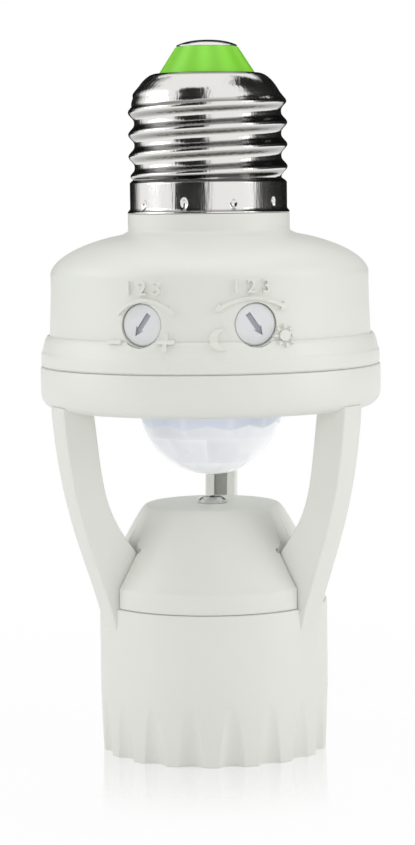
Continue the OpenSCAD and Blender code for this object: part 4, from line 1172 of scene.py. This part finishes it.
def cover_curve(cover, inset, drop):
    band_top = settings().frame.skirt_h + cover.band_h
    top_r = cover.radius - cover.cone
    return curve((cover.radius - inset, band_top - inset * 0.4),
                 (cover.radius - 0.36 * cover.cone - inset, band_top + 3.8 * MM - drop),
                 (top_r + 0.36 * cover.cone - inset, cover.top_z - 5 * MM - drop),
                 (top_r - inset, cover.top_z - cover.rounding - drop), 32)


class LAMPHOLDER_OT_cover(bpy.types.Operator):
    """Conical cover of the socket, notched round the arms"""
    bl_idname = "lampholder.cover"
    bl_label = "Socket cover"

    def execute(self, context):
        cover = settings().cover
        shape = settings().frame
        top_r = cover.radius - cover.cone
        low = rounded([(cover.radius - cover.wall, cover.low_z), (cover.radius, cover.low_z),
                       (cover.radius, cover.low_z + 2 * MM)], [0, 0.25 * MM, 0], closed=False)
        edge = curve((top_r, cover.top_z - cover.rounding), (top_r - 0.4 * cover.rounding, cover.top_z - 0.4 * cover.rounding),
                     (top_r - 0.75 * cover.rounding, cover.top_z),
                     (top_r - 1.4 * cover.rounding, cover.top_z), 12)
        outline = low + cover_curve(cover, 0, 0) + edge[1:] + [(0, cover.top_z), (0, cover.top_z - cover.top_h),
                                                               (top_r - cover.wall - 1.4 * cover.rounding,
                                                                cover.top_z - cover.top_h)]
        outline += cover_curve(cover, cover.wall, cover.top_h)[::-2]
        piece = to_object(lathe(outline, 288), "socket_cone")
        lean = math.atan2(shape.tip_r - top_r, cover.top_z - shape.tip_z)
        valley_r = shape.arm_w / 2 + cover.notch_gap
        for turn in ARM_TURNS:
            spin = Matrix.Rotation(turn, 4, "Z")
            valley = rod(valley_r, -2 * MM, 16 * MM, 64)
            moved(valley, Matrix.Translation((shape.tip_r, 0, shape.tip_z))
                  @ Matrix.Rotation(-lean, 4, "Y") @ Matrix.Translation((valley_r - cover.valley, 0, 0)))
            combine(piece, moved(valley, spin), sharp=30)
            notch = prism([(shape.tip_r - cover.notch_gap - 0.1 * MM, cover.low_z - 1 * MM),
                           (cover.radius * 2, cover.low_z - 1 * MM),
                           (cover.radius * 2, shape.tip_z + cover.notch_top),
                           (shape.tip_r - cover.notch_gap - 0.1 * MM, shape.tip_z + cover.notch_top)],
                          shape.arm_w + 2 * cover.notch_gap)
            combine(piece, moved(notch, spin), sharp=30)
            for side in (-1, 1):
                relief = moved(rod(0.42 * MM, shape.tip_r - 2.5 * MM, cover.radius, 12),
                               Matrix.Translation((0, side * (shape.arm_w / 2 + cover.notch_gap + 0.12 * MM),
                                                   shape.tip_z + 0.25 * MM)) @ Matrix.Rotation(math.pi / 2, 4, "Y"))
                combine(piece, moved(relief, spin), sharp=30)
        combine(piece, rod(cover.recess_r, cover.screw_z, cover.top_z + 1 * MM, 64), sharp=30)
        combine(piece, rod(1.4 * MM, cover.top_z - 5 * MM, cover.top_z, 32), sharp=30)
        finish(piece, bpy.data.materials["plastic_white"], "housing_white", nodes=["socket_cover"])
        return {"FINISHED"}


class LAMPHOLDER_OT_lens(bpy.types.Operator):
    """Milky dome of the sensor, smooth outside and faceted inside"""
    bl_idname = "lampholder.lens"
    bl_label = "Sensor lens"

    def execute(self, context):
        lens = settings().lens
        centre = lens.low_z + lens.radius
        dome = [(lens.radius * math.sin(t), centre - lens.radius * math.cos(t))
                for t in [math.radians(90 * k / 48) for k in range(49)]]
        floor = lens.top_z - lens.flange_h
        inner = lens.radius - lens.wall
        outline = dome + [(lens.radius, floor), (lens.rim_r, floor), (lens.rim_r, lens.top_z),
                          (inner, lens.top_z), (inner, centre)]
        outline += [(inner * math.sin(t), centre - inner * math.cos(t))
                    for t in [math.radians(90 * k / 24) for k in range(23, -1, -1)]]
        bm = lathe(outline, 160, closed=False)
        for vert in bm.verts:
            self.facet(lens, vert, centre, inner)
        bmesh.ops.recalc_face_normals(bm, faces=bm.faces[:])
        piece = to_object(bm, "lens_dome", 20)
        finish(piece, lens_milk(), "lens_white", nodes=["sensor_lens"])
        return {"FINISHED"}

    def facet(self, lens, vert, centre, inner):
        """Swells the inside between facet edges, so that each facet is a small lens."""
        offset = vert.co - Vector((0, 0, centre))
        if vert.co.z > centre or abs(offset.length - inner) > 0.05 * MM:
            return
        down = math.acos(max(-1, min(1, -offset.z / offset.length)))
        row = down / (math.pi / 2) * 3
        turn = math.atan2(offset.y, offset.x) / FULL_TURN * lens.facets + (0.5 if int(row) % 2 else 0)
        swell = math.sin(math.pi * (row % 1)) * abs(math.sin(math.pi * turn))
        offset.length = inner - 0.5 * MM * swell
        vert.co = offset + Vector((0, 0, centre))


class LAMPHOLDER_OT_inside(bpy.types.Operator):
    """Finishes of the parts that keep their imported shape"""
    bl_idname = "lampholder.inside"
    bl_label = "Contacts, circuit and screws"

    def execute(self, context):
        paint = settings().finish
        finishes = {
            brass(): ["lamp_shell", "lamp_contact", "wire_terminals"],
            steel(): ["contact_rivets", "cover_screw", "housing_screws", "board_screws", "lens_screws"],
            dressed("liner_white", paint.liner, 0.4): ["socket_insert", "lens_holder"],
            dressed("trimmer_blue", (0.08, 0.22, 0.5), 0.35): ["time_trimmer", "light_trimmer"],
            dressed("board_green", (0.03, 0.22, 0.08), 0.35, variation=0.15, grain=1200): ["circuit_board"],
            dressed("chip_black", (0.02, 0.02, 0.022), 0.5, variation=0.2): ["control_chip", "rectifier_diodes"],
            dressed("relay_blue", (0.03, 0.11, 0.42), 0.3): ["relay"],
            dressed("film_yellow", (0.75, 0.52, 0.08), 0.3, variation=0.06): ["film_capacitor"],
            dressed("sleeve_dark", (0.03, 0.05, 0.1), 0.3): ["filter_capacitor"],
            dressed("can_metal", (0.6, 0.6, 0.58), 0.25, metallic=1.0): ["motion_sensor"],
            dressed("cell_amber", (0.5, 0.26, 0.08), 0.3, variation=0.1): ["light_cell"],
            dressed("wire_red", (0.45, 0.03, 0.02), 0.4, variation=0.06): ["cap_wires"],
            dressed("wire_white", (0.72, 0.72, 0.68), 0.4): ["lamp_wires"],
        }
        for material, names in finishes.items():
            for name in names:
                node = frame["nodes"][name]
                for place in node.material_slots:
                    place.material = material
        return {"FINISHED"}


class LAMPHOLDER_OT_studio(bpy.types.Operator):
    """White floor with a fading reflection, soft lights, dark cards for the metal, and the camera"""
    bl_idname = "lampholder.studio"
    bl_label = "Studio"

    def execute(self, context):
        self.camera(context.scene)
        self.world(context.scene)
        self.floor()
        self.lights()
        self.cards()
        view = context.scene.view_settings
        view.view_transform = "Standard"
        return {"FINISHED"}

    def camera(self, scene):
        studio = settings().studio
        data = bpy.data.cameras.new("camera")
        data.lens = studio.lens
        data.sensor_width = 36
        data.clip_start = 0.01
        camera = bpy.data.objects.new("camera", data)
        scene.collection.objects.link(camera)
        camera.matrix_world = (
            Matrix.Rotation(studio.azimuth, 4, "Z")
            @ Matrix.Translation((0, -studio.distance, studio.eye))
            @ Matrix.Rotation(studio.pan, 4, "Z")
            @ Matrix.Rotation(math.pi / 2 - studio.pitch, 4, "X")
            @ Matrix.Rotation(-studio.roll, 4, "Z"))
        scene.camera = camera

    def world(self, scene):
        world = bpy.data.worlds.new("studio")
        scene.world = world
        world.use_nodes = True
        tree = world.node_tree
        background = tree.nodes["Background"]
        rays = tree.nodes.new("ShaderNodeLightPath")
        seen = math_node(tree, "MAXIMUM", rays.outputs["Is Camera Ray"], rays.outputs["Is Glossy Ray"])
        seen = math_node(tree, "MAXIMUM", seen, rays.outputs["Is Transmission Ray"])
        tree.links.new(mix_colour(tree, seen, (0.55, 0.55, 0.55), (1, 1, 1)), background.inputs["Color"])
        background.inputs["Strength"].default_value = 1.0

    def floor(self):
        bm = bmesh.new()
        bmesh.ops.create_circle(bm, cap_ends=True, segments=64, radius=3.0)
        floor = to_object(bm, "floor")
        material = bpy.data.materials.new("floor_white")
        material.use_nodes = True
        tree = material.node_tree
        tree.nodes.remove(tree.nodes["Principled BSDF"])
        output = tree.nodes["Material Output"]
        rays = tree.nodes.new("ShaderNodeLightPath")
        seen = math_node(tree, "MAXIMUM", rays.outputs["Is Camera Ray"], rays.outputs["Is Glossy Ray"])
        seen = math_node(tree, "MAXIMUM", seen, rays.outputs["Is Transmission Ray"])
        white = tree.nodes.new("ShaderNodeEmission")
        lit = tree.nodes.new("ShaderNodeBsdfDiffuse")
        lit.inputs["Color"].default_value = (0.85, 0.85, 0.85, 1)
        gloss = tree.nodes.new("ShaderNodeBsdfGlossy")
        gloss.inputs["Roughness"].default_value = 0.05
        gloss.inputs["Color"].default_value = (1, 1, 1, 1)
        position = tree.nodes.new("ShaderNodeTexCoord").outputs["Object"]
        length = tree.nodes.new("ShaderNodeVectorMath")
        length.operation = "LENGTH"
        tree.links.new(position, length.inputs[0])
        plain = ramp(tree, length.outputs["Value"], 0.03, 0.2, 0.9, 1.0)
        soft = tree.nodes.new("ShaderNodeMixShader")
        tree.links.new(math_node(tree, "MULTIPLY", seen, plain), soft.inputs["Fac"])
        tree.links.new(lit.outputs[0], soft.inputs[1])
        tree.links.new(white.outputs[0], soft.inputs[2])
        near = ramp(tree, length.outputs["Value"], 0.014, 0.060, 0.45, 0.0)
        mirror = tree.nodes.new("ShaderNodeMixShader")
        tree.links.new(math_node(tree, "MULTIPLY", near, rays.outputs["Is Camera Ray"]), mirror.inputs["Fac"])
        tree.links.new(soft.outputs[0], mirror.inputs[1])
        tree.links.new(gloss.outputs[0], mirror.inputs[2])
        tree.links.new(mirror.outputs[0], output.inputs["Surface"])
        floor.data.materials.append(material)

    def lights(self):
        """Soft area lights: name, place, size in metres, power in watts."""
        aim = Vector((0, 0, 0.06))
        for name, place, width, power in (
                ("key", (-0.2, -1.1, 0.35), 0.7, 2.0),
                ("left", (-1.0, -0.15, 0.45), 0.7, 2.4),
                ("right", (1.0, -0.15, 0.4), 0.7, 3.2),
                ("top", (0.0, 0.1, 1.0), 0.8, 2.7),
                ("back", (0.1, 0.8, 0.5), 0.7, 1.0)):
            data = bpy.data.lights.new(name, "AREA")
            data.shape = "DISK"
            data.size = width
            data.energy = power
            light = bpy.data.objects.new(name, data)
            bpy.context.scene.collection.objects.link(light)
            light.location = place
            light.visible_glossy = name in ("left", "right")
            light.rotation_euler = (aim - Vector(place)).to_track_quat("-Z", "Y").to_euler()

    def cards(self):
        """Dark curved cards that only shiny surfaces show: name, first and last turn from the front,
        how far the sides fade at both, lowest and highest point, fade at the top, and grey."""
        for name, start, end, fade_in, fade_out, low, high, fade_top, grey in (
                ("card_front", -48, 10, 6, 14, 0.07, 0.42, 0.12, 0.02),
                ("card_right", 68, 134, 16, 0, 0.075, 0.50, 0.12, 0.02),
                ("card_back", 134, 224, 0, 0, 0.075, 0.24, 0.01, 0.012),
                ("card_left", 224, 252, 0, 22, 0.075, 0.36, 0.12, 0.02)):
            card = to_object(self.card(start, end, fade_in, fade_out, low, high, fade_top), name)
            material = bpy.data.materials.new(name)
            material.use_nodes = True
            tree = material.node_tree
            tree.nodes.remove(tree.nodes["Principled BSDF"])
            fade = tree.nodes.new("ShaderNodeAttribute")
            fade.attribute_name = "fade"
            glow = tree.nodes.new("ShaderNodeEmission")
            tree.links.new(mix_colour(tree, fade.outputs["Fac"], (grey, grey, grey), (1, 1, 1)),
                           glow.inputs["Color"])
            tree.links.new(glow.outputs[0], tree.nodes["Material Output"].inputs["Surface"])
            card.data.materials.append(material)
            card.visible_camera = False
            card.visible_diffuse = False
            card.visible_transmission = False
            card.visible_shadow = False

    def card(self, start, end, fade_in, fade_out, low, high, fade_top, radius=0.16):
        """A strip of a cylinder, with its fade to white at the sides and the top in a layer."""
        bm = bmesh.new()
        layer = bm.verts.layers.float.new("fade")
        count = 48
        columns = []
        for k in range(count + 1):
            angle = start + (end - start) * k / count
            turn = math.radians(angle) - math.pi / 2
            side = max(1 - (angle - start) / fade_in if fade_in else 0,
                       1 - (end - angle) / fade_out if fade_out else 0, 0)
            column = []
            for z, top in ((low, 0), (high - fade_top, 0), (high, 1)):
                vert = bm.verts.new((radius * math.cos(turn), radius * math.sin(turn), z))
                vert[layer] = max(ease(side), top)
                column.append(vert)
            columns.append(column)
        for a, b in zip(columns, columns[1:]):
            for k in range(2):
                bm.faces.new((a[k], b[k], b[k + 1], a[k + 1]))
        return bm


class LAMPHOLDER_PT_panel(bpy.types.Panel):
    """Lists the pieces of the lamp holder"""
    bl_idname = "LAMPHOLDER_PT_panel"
    bl_label = "Lamp holder"
    bl_space_type = "VIEW_3D"
    bl_region_type = "UI"
    bl_category = "Lamp Holder"

    def draw(self, context):
        for operator in OPERATORS:
            self.layout.operator(operator.bl_idname)


SIZES = (CapSizes, HousingSizes, KnobSizes, FrameSizes, CoverSizes, LensSizes, Finishes, Studio,
         HolderSettings)
OPERATORS = (LAMPHOLDER_OT_cap, LAMPHOLDER_OT_housing, LAMPHOLDER_OT_knobs, LAMPHOLDER_OT_frame,
             LAMPHOLDER_OT_cover, LAMPHOLDER_OT_lens, LAMPHOLDER_OT_inside, LAMPHOLDER_OT_studio)


def register():
    for kind in (*SIZES, *OPERATORS, LAMPHOLDER_PT_panel):
        bpy.utils.register_class(kind)
    bpy.types.Scene.lamp_holder = PointerProperty(type=HolderSettings)


def unregister():
    del bpy.types.Scene.lamp_holder
    for kind in reversed((*SIZES, *OPERATORS, LAMPHOLDER_PT_panel)):
        bpy.utils.unregister_class(kind)


def main():
    register()
    bpy.ops.lampholder.cap()
    bpy.ops.lampholder.housing()
    bpy.ops.lampholder.knobs()
    bpy.ops.lampholder.frame()
    bpy.ops.lampholder.cover()
    bpy.ops.lampholder.lens()
    bpy.ops.lampholder.inside()
    bpy.ops.lampholder.studio()


if __name__ == "__main__":
    main()
